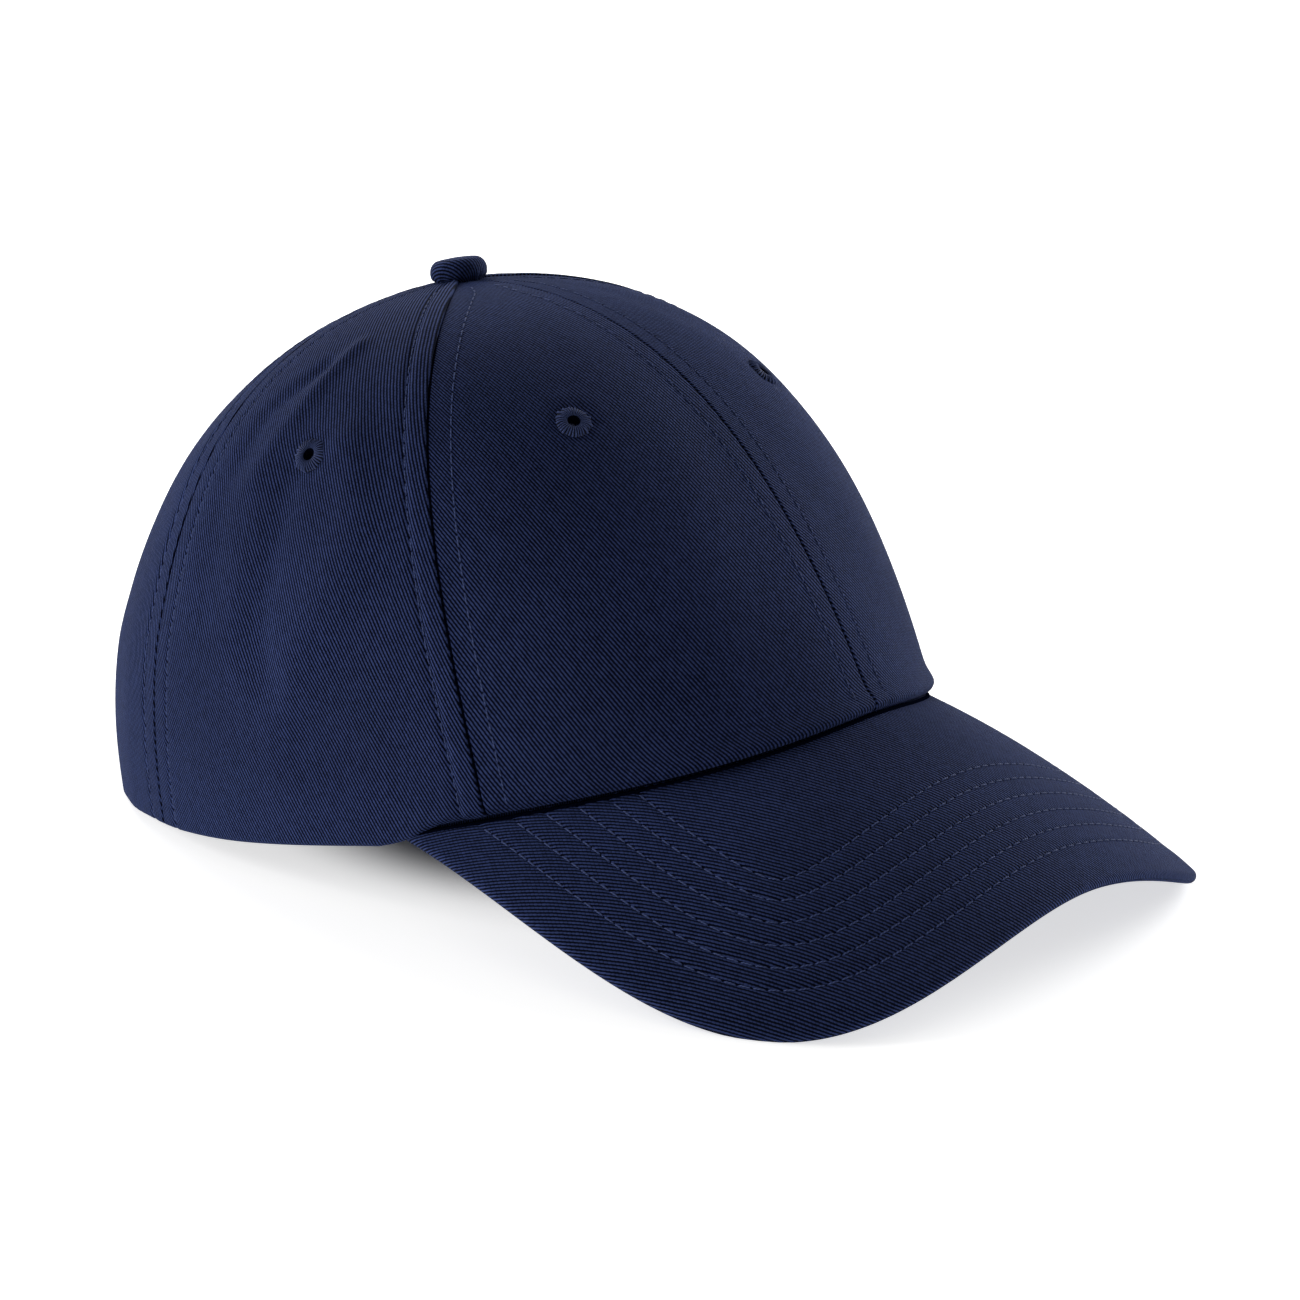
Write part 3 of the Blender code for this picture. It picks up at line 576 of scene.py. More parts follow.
def stage_floor():
    """A white floor that gives off some light of its own, fading to none in an oval under the crown: painted
    shade under the cap and a painted shadow round it.
    """
    n = Nodes("studio_floor")
    mesh = bpy.data.meshes.new("studio_floor")
    half = FLOOR_WIDTH / 2.0
    corners = [(-half, -half, 0.0), (half, -half, 0.0), (half, half, 0.0), (-half, half, 0.0)]
    mesh.from_pydata(corners, [], [(0, 1, 2, 3)])
    n.finish(colour(0.86, 0.86, 0.86), 0.9, Specular_IOR_Level=0.1)
    n.put(n.shader.inputs["Emission Color"], colour(1.0, 1.0, 1.0))
    middle = n.add("ShaderNodeMapping")
    n.put(middle.inputs["Vector"], n.place())
    middle.inputs["Scale"].default_value = (1.0 / FLOOR_SHADE_OVAL[0], 1.0 / FLOOR_SHADE_OVAL[1], 0.0)
    middle.inputs["Location"].default_value = (0.0, -0.25, 0.0)
    reach = n.add("ShaderNodeVectorMath", operation="LENGTH")
    n.put(reach.inputs[0], middle.outputs[0])
    # Painted shade and shadow: the floor's glow fades out in this oval under and round the cap.
    n.put(n.shader.inputs["Emission Strength"], n.range(reach.outputs["Value"], 0.45, 0.86, 0.0, 0.66))
    mesh.materials.append(n.material)
    item = bpy.data.objects.new("studio_floor", mesh)
    bpy.context.scene.collection.objects.link(item)


LIGHTS_AIM = Vector((0.0, 0.0, 0.06))


def area_light(name, place, size, power):
    data = bpy.data.lights.new(name, "AREA")
    data.shape = "DISK"
    data.size = size
    data.energy = power
    item = bpy.data.objects.new(name, data)
    bpy.context.scene.collection.objects.link(item)
    item.location = place
    item.rotation_euler = (LIGHTS_AIM - Vector(place)).to_track_quat("-Z", "Y").to_euler()


def set_stage():
    data = bpy.data.cameras.new("camera")
    data.sensor_width = 36.0
    data.lens = CAMERA_LENS
    data.clip_start = 0.01
    camera = bpy.data.objects.new("camera", data)
    axes = Matrix((CAMERA_RIGHT, CAMERA_UP, CAMERA_BACK)).transposed().to_4x4()
    camera.matrix_world = Matrix.Translation(CAMERA_PLACE) @ axes
    bpy.context.scene.collection.objects.link(camera)
    bpy.context.scene.camera = camera
    bpy.context.scene.view_settings.view_transform = "Standard"
    world = bpy.data.worlds.new("studio")
    world.use_nodes = True
    sky = world.node_tree.nodes["Background"].inputs
    sky["Color"].default_value = colour(1.0, 1.0, 1.0)
    sky["Strength"].default_value = 0.24
    bpy.context.scene.world = world
    stage_floor()
    area_light("softbox_left", (-1.05, 1.30, 0.58), 1.1, 18.8)
    area_light("softbox_right", (1.68, -0.28, 0.70), 1.1, 26.0)
    area_light("softbox_back", (0.85, 1.40, 1.00), 1.2, 17.0)


set_stage()

# Crown panels

EDGE_STEPS = (
    0.0, 0.06, 0.2, 0.42, 0.75, 1.2, 1.9, 2.8, 3.7, 4.4, 4.9, 5.25, 5.5, 5.75, 6.1, 6.7, 7.6, 9.0,
)
EDGE_REACH = EDGE_STEPS[-1]
STITCH_COLUMN = EDGE_STEPS.index(STITCH_OFFSET)
HEM_STEPS = (0.0, 0.06, 0.2, 0.42, 0.75, 1.2, 1.8, 2.6)
ROW_STEP = 1.1
PANEL_TOP_RADIUS = 3.0 * MM
HEM_LIFT = 1.75 * MM
CORNER_DROP = 0.6 * MM
CORNER_ANGLE = 74.8
LEAST_THICKNESS = 0.25
MOST_THICKNESS = 1.4
SEAM_GAP = 0.20


def over_visor_share(angle):
    """1 where the hem rests on the visor, fading to 0 at the visor's corners."""
    return 1.0 - smooth_step((turn_degrees(angle) - 70.0) / 6.0)


def rounded_drop(distance, radius, depth):
    """Depth lost where a folded edge turns in."""
    near = 1.0 - np.clip(distance / radius, 0.0, 1.0)
    return -depth * (1.0 - np.sqrt(np.maximum(1.0 - near * near, 0.0)))


def seam_relief(distance, scale, rise, edge, run, seed, slack_share):
    """Height, in mm, of the cloth beside a seam: folded edge, padded strip, stitch groove, slack."""
    stitch = STITCH_OFFSET * scale
    beat = np.cos(run / (STITCH_PITCH / MM) * 2.0 * np.pi)
    relief = rounded_drop(distance, edge, edge)
    strip = 1.0 - smooth_step((distance - 0.72 * stitch) / (0.26 * stitch))
    relief += rise * strip * (1.0 + 0.18 * ripple(run, seed, 6.0))
    relief -= 0.24 * slack_share * bump(distance, stitch, 0.50) * (1.0 - 0.5 * beat)
    relief += 0.06 * slack_share * beat * bump(distance, stitch - 1.1, 0.9)
    slack = smooth_step((distance - stitch) / 1.6) * np.exp(-np.maximum(distance - stitch, 0.0) / 8.0)
    return relief + slack_share * slack * (0.20 + 0.12 * ripple(run, seed + 3.0, 5.0) + 0.06 * beat)


# The crown's run in mm for one degree of turn at the side, and from hem to top
DEGREE_RUN = 1.68
UP_RUN = 180.0
# Each fold: its height and width in mm, and its line as (degrees, share of the way up) points
SIDE_FOLDS = (
    (-1.5, 5.0, ((92.5, 0.40), (94.0, 0.30), (96.0, 0.20), (94.0, 0.14))),
    (1.5, 7.5, ((82.0, 0.45), (79.0, 0.33), (84.0, 0.24), (88.0, 0.18), (92.5, 0.13))),
    (-0.7, 7.0, ((88.0, 0.08), (79.0, 0.07), (71.0, 0.06))),
    (-0.9, 3.2, ((95.0, 0.60), (103.0, 0.50), (105.0, 0.41))),
    (0.9, 3.6, ((89.0, 0.66), (95.0, 0.50), (100.0, 0.38))),
    (0.6, 5.0, ((112.0, 0.28), (112.0, 0.15))),
    (-0.5, 5.0, ((107.0, 0.38), (105.0, 0.22))),
)


def crease(degrees, up, path, width):
    """A ridge of height 1 along a line of (degrees, share of the way up) points."""
    x, y = degrees * DEGREE_RUN, up * UP_RUN
    nearest = np.full(np.shape(x), 1000.0)
    for start, end in zip(path, path[1:]):
        from_x, from_y = start[0] * DEGREE_RUN, start[1] * UP_RUN
        run_x, run_y = end[0] * DEGREE_RUN - from_x, end[1] * UP_RUN - from_y
        share = ((x - from_x) * run_x + (y - from_y) * run_y) / (run_x * run_x + run_y * run_y)
        share = np.clip(share, 0.0, 1.0)
        nearest = np.minimum(nearest, np.hypot(x - from_x - share * run_x, y - from_y - share * run_y))
    return bump(nearest, 0.0, width)


def panel_relief(name, angle, up, side_a, side_b, hem, scale, rises, edges):
    """Height, in mm, of a panel's outer face above the smooth crown."""
    slack = 0.25 if name.startswith("front") else 1.0
    relief = seam_relief(side_a, scale, rises[0], edges[0], hem, 1.0 + rises[0], slack)
    relief += seam_relief(side_b, scale, rises[1], edges[1], hem + 1.3, 2.0 + rises[1], slack)
    degrees = turn_degrees(angle)
    over_visor = over_visor_share(angle)
    relief += rounded_drop(hem, 1.0 + 1.5 * over_visor, 0.95 + 1.1 * over_visor)
    relief += over_visor * 0.9 * bump(hem, 2.6, 3.6)
    banded = smooth_step((degrees - 78.0) / 16.0)
    relief += banded * (0.45 * (1.0 - smooth_step((up - 0.16) / 0.07)) - 0.45 * bump(up, 0.30, 0.09))
    inside = smooth_step(np.minimum(side_a, side_b) / 22.0)
    if name.startswith("side"):
        for height, width, path in SIDE_FOLDS:
            relief += height * inside * crease(degrees, up, path, width)
    elif name.startswith("back"):
        folds = 0.7 * ripple(degrees + 20.0 * up, 5.0, 5.5)
        relief += folds * inside * (1.0 - smooth_step((up - 0.45) / 0.35))
        point = crown_point(angle, up)
        reach = np.hypot(point[..., 0] / OPENING_HALF_WIDTH, (point[..., 2] - OPENING_BASE) / OPENING_HEIGHT)
        relief = np.minimum(relief, 0.0) + np.maximum(relief, 0.0) * smooth_step((reach - 1.12) / 0.25)
    else:
        relief += 0.35 * inside * ripple(degrees * 0.9 + up * 30.0, 2.0, 9.0)
    return relief


def eyelet_pull(points, eyelets):
    """How far the cloth is drawn in round each sewn eyelet, in mm."""
    pull = np.zeros(points.shape[:-1])
    for degrees, up in eyelets:
        centre = crown_point(math.radians(degrees), up)
        away = points - centre
        distance = np.linalg.norm(away, axis=-1) / MM
        side = np.sign(away[..., 0] + away[..., 1] * 0.3)
        turn = np.arctan2(away[..., 2], np.hypot(away[..., 0], away[..., 1]) * side)
        pull -= 0.50 * bump(distance, 0.0, 4.6)
        pull += 0.10 * np.sin(turn * 9.0) * bump(distance, 5.6, 1.8)
        pull += 0.14 * bump(distance, 7.2, 2.4)
    return pull


def panel_grid(name, seam_a, seam_b, rises, edges, eyelets):
    middle = math.radians((seam_a[0] + seam_b[0]) / 2.0)
    ups = np.linspace(0.0, float(up_at_radius(middle, PANEL_TOP_RADIUS)), 600)
    spine = crown_point(np.full(600, middle), ups)
    run = path_lengths(spine) / MM
    count = int((run[-1] - HEM_STEPS[-1]) / ROW_STEP)
    rows = np.concatenate([HEM_STEPS, np.linspace(HEM_STEPS[-1], run[-1], count + 1)[1:]])
    row_ups = np.interp(rows, run, ups)
    shares = list(np.linspace(0.0, 1.0, 26))
    for degrees, up in eyelets:
        angles = np.linspace(seam_angle(seam_a, up), seam_angle(seam_b, up), 200)
        widths = path_lengths(crown_point(angles, up)) / MM
        at = np.interp(math.radians(degrees), angles, widths)
        at = (at - EDGE_REACH) / (widths[-1] - 2.0 * EDGE_REACH)
        step = 0.9 / (widths[-1] - 2.0 * EDGE_REACH)
        shares += list(at + step * np.arange(-8, 9))
    shares = np.array(sorted(shares))
    shares = shares[np.concatenate([[True], np.diff(shares) > 0.002])]
    edge = np.array(EDGE_STEPS)
    columns = 2 * len(edge) + len(shares) - 2
    angle = np.zeros((len(rows), columns))
    place = np.zeros((len(rows), columns))
    width = np.zeros(len(rows))
    scale = np.zeros(len(rows))
    for index, up in enumerate(row_ups):
        angles = np.linspace(seam_angle(seam_a, up), seam_angle(seam_b, up), 60)
        widths = path_lengths(crown_point(angles, up)) / MM
        width[index] = widths[-1]
        scale[index] = min(1.0, 0.44 * widths[-1] / EDGE_REACH)
        near = edge * scale[index]
        inner = near[-1] + (widths[-1] - 2.0 * near[-1]) * shares[1:-1]
        place[index] = np.concatenate([near, inner, widths[-1] - near[::-1]])
        gap = SEAM_GAP * scale[index] ** 2 * (1.0 - 0.8 * smooth_step((up - 0.60) / 0.15))
        squeeze = 1.0 - 2.0 * gap / widths[-1]
        angle[index] = np.interp(gap + place[index] * squeeze, widths, angles)
    up = np.repeat(row_ups[:, None], columns, axis=1)
    hem = np.repeat(rows[:, None], columns, axis=1)
    far = width[:, None] - place
    relief = panel_relief(name, angle, up, place, far, hem, scale[:, None], rises, edges)
    base = crown_point(angle, up)
    over_visor = over_visor_share(angle)
    base[..., 2] += HEM_LIFT * over_visor * bump(hem, 0.0, 6.0)
    base[..., 2] -= CORNER_DROP * bump(turn_degrees(angle), CORNER_ANGLE, 3.0) * bump(hem, 0.0, 7.0)
    relief += eyelet_pull(base, eyelets)
    normal = crown_normal(angle, up)
    thickness = np.minimum(PANEL_THICKNESS / MM + np.minimum(relief, 0.0) * 0.6 + 0.15, MOST_THICKNESS)
    outer = base + normal * (relief * MM)[..., None]
    inner = outer - normal * (np.maximum(thickness, LEAST_THICKNESS) * MM)[..., None]
    grain = FRONT_GRAIN if name.startswith("front") else SIDE_GRAIN
    uvs = on_grain(np.stack([(place - width[:, None] / 2.0) * MM, hem * MM], -1), grain)
    uvs = uvs * (1.0 if name.startswith("front") else SIDE_FINENESS)
    return to_world(outer), to_world(inner), uvs, turn_to_world(normal), scale, up


CENTRE = (0.0, 0.0)
FRONT_LEFT, BACK_LEFT, REAR = FRONT_SEAM, BACK_SEAM, (180.0, 0.0)
FRONT_RIGHT = (-FRONT_SEAM[0], -FRONT_SEAM[1])
BACK_RIGHT = (-BACK_SEAM[0], -BACK_SEAM[1])
FOLD_UP = 0.50
FOLD = 0.45
FOLD_UNDER = 0.42
# Name, its two seams, then for each seam the strip's rise and the folded edge's radius in mm, eyelets
PANELS = (
    ("front_panel_right", FRONT_RIGHT, CENTRE, (0.0, 0.06), (FOLD_UNDER, FOLD), FRONT_EYELETS[:1]),
    ("front_panel_left", CENTRE, FRONT_LEFT, (0.06, 0.0), (FOLD, 0.5 * FOLD_UNDER), FRONT_EYELETS[1:]),
    ("side_panel_right", BACK_RIGHT, FRONT_RIGHT, (0.10, 0.70), (FOLD, FOLD_UP), SIDE_EYELETS[:1]),
    ("side_panel_left", FRONT_LEFT, BACK_LEFT, (0.35, 0.10), (0.6 * FOLD_UP, FOLD), SIDE_EYELETS[1:]),
    ("back_panel_right", (-180.0, 0.0), BACK_RIGHT, (0.10, 0.10), (FOLD, FOLD), BACK_EYELETS[:1]),
    ("back_panel_left", BACK_LEFT, REAR, (0.10, 0.10), (FOLD, FOLD), BACK_EYELETS[1:]),
)


def cutter(name, shape):
    mesh = bpy.data.meshes.new(name)
    maker = bmesh.new()
    bmesh.ops.create_cone(maker, cap_ends=True, segments=96, radius1=1.0, radius2=1.0, depth=1.0)
    maker.transform(shape)
    maker.to_mesh(mesh)
    maker.free()
    item = bpy.data.objects.new(name, mesh)
    bpy.context.scene.collection.objects.link(item)
    return item


def apply_modifiers(item):
    graph = bpy.context.evaluated_depsgraph_get()
    made = bpy.data.meshes.new_from_object(item.evaluated_get(graph))
    item.modifiers.clear()
    old = item.data
    item.data = made
    made.shade_smooth()
    bpy.data.meshes.remove(old)


def cut(item, tools):
    for tool in tools:
        step = item.modifiers.new("cut", "BOOLEAN")
        step.operation = "DIFFERENCE"
        step.solver = "MANIFOLD"
        step.object = tool
    bpy.context.view_layer.update()
    apply_modifiers(item)
    for tool in tools:
        bpy.data.objects.remove(tool)


def frame_matrix():
    tip = Matrix.Rotation(-math.radians(TIP_BACK), 4, "X")
    return Matrix.Translation((0.0, FRAME_FORWARD, FRAME_LIFT)) @ tip


def surface_matrix(degrees, up):
    """Axes on the crown: Z out of the cloth, X along the hem, Y upwards."""
    angle = math.radians(degrees)
    origin = to_world(crown_point(angle, up))
    out = Vector(turn_to_world(crown_normal(angle, up)))
    around = Vector(turn_to_world(crown_point(angle + 0.002, up) - crown_point(angle - 0.002, up)))
    around = (around - out * around.dot(out)).normalized()
    upward = out.cross(around)
    axes = Matrix((around, upward, out)).transposed().to_4x4()
    return Matrix.Translation(origin) @ axes


def eyelet_cutter(place, radius, depth):
    """A round cutter across the cloth at an eyelet's place, in mm."""
    shape = Matrix.Diagonal((radius * MM, radius * MM, depth * MM, 1.0))
    return cutter("eyelet_cutter", surface_matrix(*place) @ shape)


def opening_cutter():
    shape = Matrix.Diagonal((OPENING_HALF_WIDTH, OPENING_HEIGHT, 80.0 * MM, 1.0))
    place = Matrix.Translation((0.0, HEM_HALF_LENGTH, OPENING_BASE))
    turn = Matrix.Rotation(math.pi / 2.0, 4, "X")
    return cutter("opening_cutter", frame_matrix() @ place @ turn @ shape)


def finish_piece(item, body, slot, *nodes):
    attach(item, body)
    if nodes:
        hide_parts(*nodes)


def sew(stitches, name, material, body="cap"):
    finish_piece(stitches.build(name, material), body, "navy_thread")


STITCH_RADIUS = 0.17 * MM
VISOR_STITCH_RADIUS = 0.20 * MM
BACK_STITCH_RADIUS = 0.19 * MM
SEWN_ABOVE = 0.058
crown_thread = Thread()
# Near-black sunk thread between the crown's stitches: painted shade in the needle holes.
crown_hole_shade = Thread()
for name, seam_a, seam_b, rises, edges, eyelets in PANELS:
    outer, inner, uvs, normals, scale, up = panel_grid(name, seam_a, seam_b, rises, edges, eyelets)
    lining = "visor_board" if name.startswith("front") else "sweatband"
    item = shell(name + "_cloth", outer, inner, uvs, navy, [lining])
    tools = [eyelet_cutter(place, 2.0, 8.0) for place in eyelets]
    if name.startswith("back"):
        tools.append(opening_cutter())
    cut(item, tools)
    finish_piece(item, "cap", "navy_cotton_twill", name)
    for column in (STITCH_COLUMN, outer.shape[1] - 1 - STITCH_COLUMN):
        keep = slice(3, int(np.argmax(scale < 0.55)) or len(scale))
        path = outer[keep, column]
        away = normals[keep, column]
        if name.startswith("back") and (column > STITCH_COLUMN) == (seam_b == REAR):
            high = path[:, 2] > SEWN_ABOVE
            path, away = path[high], away[high]
        crown_thread.row(path, away, STITCH_RADIUS, hole_shade=crown_hole_shade, proud=0.95)


# Each panel seam's near-black cord, painted shade in the seam's fold: its radius and its depth below the
# crown's face, in mm
SEAM_SHADE_CORDS = (
    (CENTRE, 0.33, 0.36), (FRONT_RIGHT, 0.52, 0.30), (FRONT_LEFT, 0.34, 0.40),
    (BACK_RIGHT, 0.28, 0.45), (BACK_LEFT, 0.28, 0.45), (REAR, 0.28, 0.45),
)
CORD_START = 0.012
HEM_SHADE_CORD_RADIUS = 0.60 * MM
HEM_SHADE_CORD_LIFT = 0.55 * MM
opening_top = float(up_at_height(np.array(math.pi), OPENING_BASE + OPENING_HEIGHT + 4.5 * MM))


def painted_shade_cords():
    """Near-black cords deep in the folds between the panels, and between the crown and the visor: painted
    shade for the dark lines there.
    """
    cord = Thread()
    whole = {"pitch": 2.2 * MM, "share": 1.3, "sink": 0.0, "proud": 0.0}
    for seam, radius, depth in SEAM_SHADE_CORDS:
        low = opening_top - CORD_START if seam == REAR else CORD_START
        ups = np.linspace(low, float(up_at_radius(np.array(math.radians(seam[0])), 7.0 * MM)), 160)
        angles = seam_angle(seam, ups)
        depths = depth + 0.4 * smooth_step((ups - 0.60) / 0.15)
        path = to_world(crown_layer(angles, ups, depths))
        cord.row(path, turn_to_world(crown_normal(angles, ups)), radius * MM, **whole)
    # The cord under the crown's hem is painted shade for the dark line between crown and visor.
    count = 300
    angles = np.radians(np.linspace(-VISOR_CORNER_ANGLE, VISOR_CORNER_ANGLE - 3.0, count))
    base = crown_point(angles, np.zeros(count))
    away = unit(base * (1.0, 1.0, 0.0))
    path = base - away * np.linspace(0.85, 1.35, count)[:, None] * MM
    path[:, 2] += HEM_SHADE_CORD_LIFT
    cord.row(to_world(path), turn_to_world(away), HEM_SHADE_CORD_RADIUS, **whole)
    sew(cord, "painted_shade_cords", painted_shade_thread)


painted_shade_cords()
sew(crown_thread, "crown_topstitching", thread)
sew(crown_hole_shade, "crown_needle_hole_shade", painted_shade_thread)

# Visor

VISOR_COLUMNS = 260
VISOR_TUCK = 0.971
ROW_SPACING = 5.84
INSIDE_DEPTH = 44.0


def visor_outline(share):
    corner = np.array(VISOR_CORNER)
    flare = math.radians(VISOR_FLARE)
    side = corner + VISOR_SIDE_HANDLE * np.array((math.sin(flare), -math.cos(flare)))
    nose = np.array((0.0, -HEM_HALF_LENGTH - VISOR_PROJECTION))
    front = nose + np.array((VISOR_FRONT_HANDLE, 0.0))
    go = (1.0 - np.abs(share))[:, None]
    rest = 1.0 - go
    point = rest ** 3 * corner + 3.0 * rest * rest * go * side
    point = point + 3.0 * rest * go * go * front + go ** 3 * nose
    point[:, 0] = np.copysign(point[:, 0], share)
    return point


def resample(path, count):
    lengths = path_lengths(path)
    places = np.linspace(0.0, lengths[-1], count)
    return np.stack([np.interp(places, lengths, path[:, axis]) for axis in range(path.shape[1])], -1)


def outside_crown(path):
    """The part of a plan path that lies outside the tucked hem oval."""
    turns = np.linspace(-math.pi * 0.75, math.pi * 0.75, 3001)
    oval = np.stack(hem_oval(turns), -1) * VISOR_TUCK
    bearing = np.arctan2(oval[:, 0], -oval[:, 1])
    reach = np.interp(np.arctan2(path[:, 0], -path[:, 1]), bearing, np.hypot(oval[:, 0], oval[:, 1]))
    gap = np.hypot(path[:, 0], path[:, 1]) - reach
    out = np.nonzero(gap > 0.0)[0]
    first, last = out[0], out[-1]
    kept = path[first:last + 1]
    if first > 0:
        share = gap[first] / (gap[first] - gap[first - 1])
        kept = np.concatenate([[path[first] + (path[first - 1] - path[first]) * share], kept])
    if last < len(path) - 1:
        share = gap[last] / (gap[last] - gap[last + 1])
        kept = np.concatenate([kept, [path[last] + (path[last + 1] - path[last]) * share]])
    return kept


def inset_curves(distances):
    """Plan curves that keep these distances from the visor's edge, measured over its bent surface."""
    path = visor_outline(np.linspace(-1.0, 1.0, 401))
    lead = unit(path[0] - path[1])
    tail = unit(path[-1] - path[-2])
    spare = np.linspace(1.0, 12.0, 12)[:, None] * MM
    path = np.concatenate([(path[0] + lead * spare)[::-1], path, path[-1] + tail * spare])
    path = resample(path, 501)
    done = 0.0
    curves = []
    for target in distances:
        while done < target - 1e-9:
            step = min(0.8 * MM, target - done)
            tangent = unit(np.gradient(path, axis=0))
            inward = np.stack([-tangent[:, 1], tangent[:, 0]], -1)
            probe = path + inward * 0.2 * MM
            climb = visor_height(probe[:, 0], probe[:, 1]) - visor_height(path[:, 0], path[:, 1])
            slope = climb / (0.2 * MM)
            path += inward * (step / np.sqrt(1.0 + slope * slope))[:, None]
            path = resample(path, 501)
            done += step
        curves.append(resample(outside_crown(path), VISOR_COLUMNS))
    return curves


def bent_lengths():
    """Tables of the length over the visor's surface, across it and along it."""
    x = np.linspace(0.0, 0.12, 400)
    across = np.hypot(1.0, np.gradient(visor_height(x, 0.0 * x - 0.12), x))
    y = np.linspace(-0.17, 0.0, 400)
    along = np.hypot(1.0, np.gradient(visor_height(0.0 * y, y), y))
    step_x, step_y = x[1] - x[0], y[1] - y[0]
    return x, np.cumsum(across) * step_x, y, np.cumsum(along) * step_y


def visor_cover(name, side):
    """Side is 1 for the top cover and -1 for the under cover."""
    half = VISOR_THICKNESS / 2.0
    rolls = np.radians((88.0, 78.0, 66.0, 53.0, 40.0, 27.0, 14.0, 4.0))
    flat = [1.9, 3.2, 4.8, 6.5, 8.2, 9.6]
    for row in VISOR_ROWS:
        flat += [row - 1.6, row - 0.85, row - 0.45, row - 0.2, row]
        flat += [row + 0.2, row + 0.45, row + 0.85, row + 1.6]
    flat += [43.6]
    flat = np.array(flat)
    distances = np.concatenate([half * (1.0 - np.sin(rolls)), flat * MM])
    curves = np.array(inset_curves(distances))
    ends = curves[-1, [0, -1]]
    turns = np.linspace(-math.radians(VISOR_CORNER_ANGLE), math.radians(VISOR_CORNER_ANGLE), 2001)
    oval = np.stack(hem_oval(turns), -1) * VISOR_TUCK
    picks = [int(np.argmin(np.linalg.norm(oval - end, axis=1))) for end in ends]
    hem = resample(oval[picks[0]:picks[1] + 1], VISOR_COLUMNS)
    hem[0], hem[-1] = ends
    rows_in = [curves[-1] + (hem - curves[-1]) * share for share in np.linspace(0.0, 1.0, 9)[1:]]
    plan = np.concatenate([curves, rows_in])
    rows = len(plan)
    lift = np.full(rows, 1.0)
    lift[:len(rolls)] = np.cos(rolls)
    depth = np.concatenate([distances, np.full(len(rows_in), INSIDE_DEPTH * MM)]) / MM
    relief = np.zeros(rows)
    for row in VISOR_ROWS:
        relief -= 0.24 * bump(depth, row, 0.42)
    quilt = 0.5 - 0.5 * np.cos((depth - VISOR_ROWS[0]) / ROW_SPACING * 2.0 * np.pi)
    inside = (depth > VISOR_ROWS[0]) & (depth < VISOR_ROWS[-1])
    relief += np.where(inside, 0.16 * quilt, 0.0)
    relief = relief + 0.16 * bump(depth, 6.4, 3.0) + 0.12 * bump(depth, INSIDE_DEPTH, 2.0)
    relief[:len(rolls)] = 0.0
    length = np.arange(VISOR_COLUMNS)[None, :] * 1.45
    waver = 1.0 + 0.35 * ripple(length + depth[:, None] * 2.0, 4.0, 7.0)
    relief = relief[:, None] * waver
    normal = visor_normal(plan[..., 0], plan[..., 1])
    middle = np.concatenate([plan, visor_height(plan[..., 0], plan[..., 1])[..., None]], -1)
    outer = middle + side * normal * ((half * lift)[:, None] + relief * MM)[..., None]
    thin = half - 0.55 * MM
    outward = unit(np.gradient(plan, axis=0))
    pull = np.zeros(rows)
    pull[:len(rolls)] = 0.55 * MM * np.sin(rolls)
    shift = np.concatenate([outward * pull[:, None, None], np.zeros(outward.shape[:2] + (1,))], -1)
    inner = middle + shift + side * normal * (thin * lift)[:, None, None]
    x_table, x_length, y_table, y_length = bent_lengths()
    u = np.sign(plan[..., 0]) * np.interp(np.abs(plan[..., 0]), x_table, x_length)
    v = np.interp(plan[..., 1], y_table, y_length)
    uvs = on_grain(np.stack([u, v - 0.003 * (1.0 - lift)[:, None]], -1), VISOR_GRAIN)
    if side < 0:
        outer, inner, uvs = outer[:, ::-1], inner[:, ::-1], uvs[:, ::-1]
        normal = -normal[:, ::-1]
    item = shell(name + "_cloth", to_world(outer), to_world(inner), uvs, navy, ["visor_board"])
    finish_piece(item, "cap", "navy_cotton_twill", name)
    for row in VISOR_ROWS:
        index = len(rolls) + int(np.argmin(np.abs(flat - row)))
        path, away = to_world(outer[index])[2:-2], turn_to_world(normal[index])[2:-2]
        visor_thread.row(path, away, VISOR_STITCH_RADIUS, hole_shade=visor_hole_shade, proud=0.9)


visor_thread = Thread()
# Near-black sunk thread between the visor's stitches: painted shade in the needle holes.
visor_hole_shade = Thread()
visor_cover("visor_top_cover", 1)
visor_cover("visor_under_cover", -1)
sew(visor_thread, "visor_stitching", thread)
sew(visor_hole_shade, "visor_needle_hole_shade", painted_shade_thread)

# Turned pieces: eyelets and button


def lathe(name, profile, segments, place, material, radius_wave, height_wave, on_axis=False):
    """A (radius, height) profile in mm, turned about Z; the waves add cloth or thread relief.

    On the axis its two ends are capped, and otherwise they are joined to each other."""
    profile = np.array(profile)
    turn = np.arange(segments) / segments * 2.0 * np.pi
    radius = np.repeat(profile[:, 0][:, None], segments, 1)
    height = np.repeat(profile[:, 1][:, None], segments, 1)
    at = (turn[None], profile[:, 0][:, None], profile[:, 1][:, None])
    radius += radius_wave(*at)
    height += height_wave(*at)
    points = np.stack([radius * np.cos(turn), radius * np.sin(turn), height], -1).reshape(-1, 3) * MM
    run = path_lengths(profile[::-1])[::-1]
    uvs = np.stack([run[:, None] * np.cos(turn), run[:, None] * np.sin(turn)], -1).reshape(-1, 2) * MM
    rows = len(profile)
    faces = grid_faces(rows, segments, wrap=True).tolist()
    last = (rows - 1) * segments
    if on_axis:
        faces.append(list(range(segments - 1, -1, -1)))
        faces.append(list(range(last, last + segments)))
    else:
        for index in range(segments):
            after = (index + 1) % segments
            faces.append([last + index, last + after, after, index])
    points = np.array([place @ Vector(point) for point in points])
    return build(name, points, faces, uvs, material)


EYELET_THREADS = 34
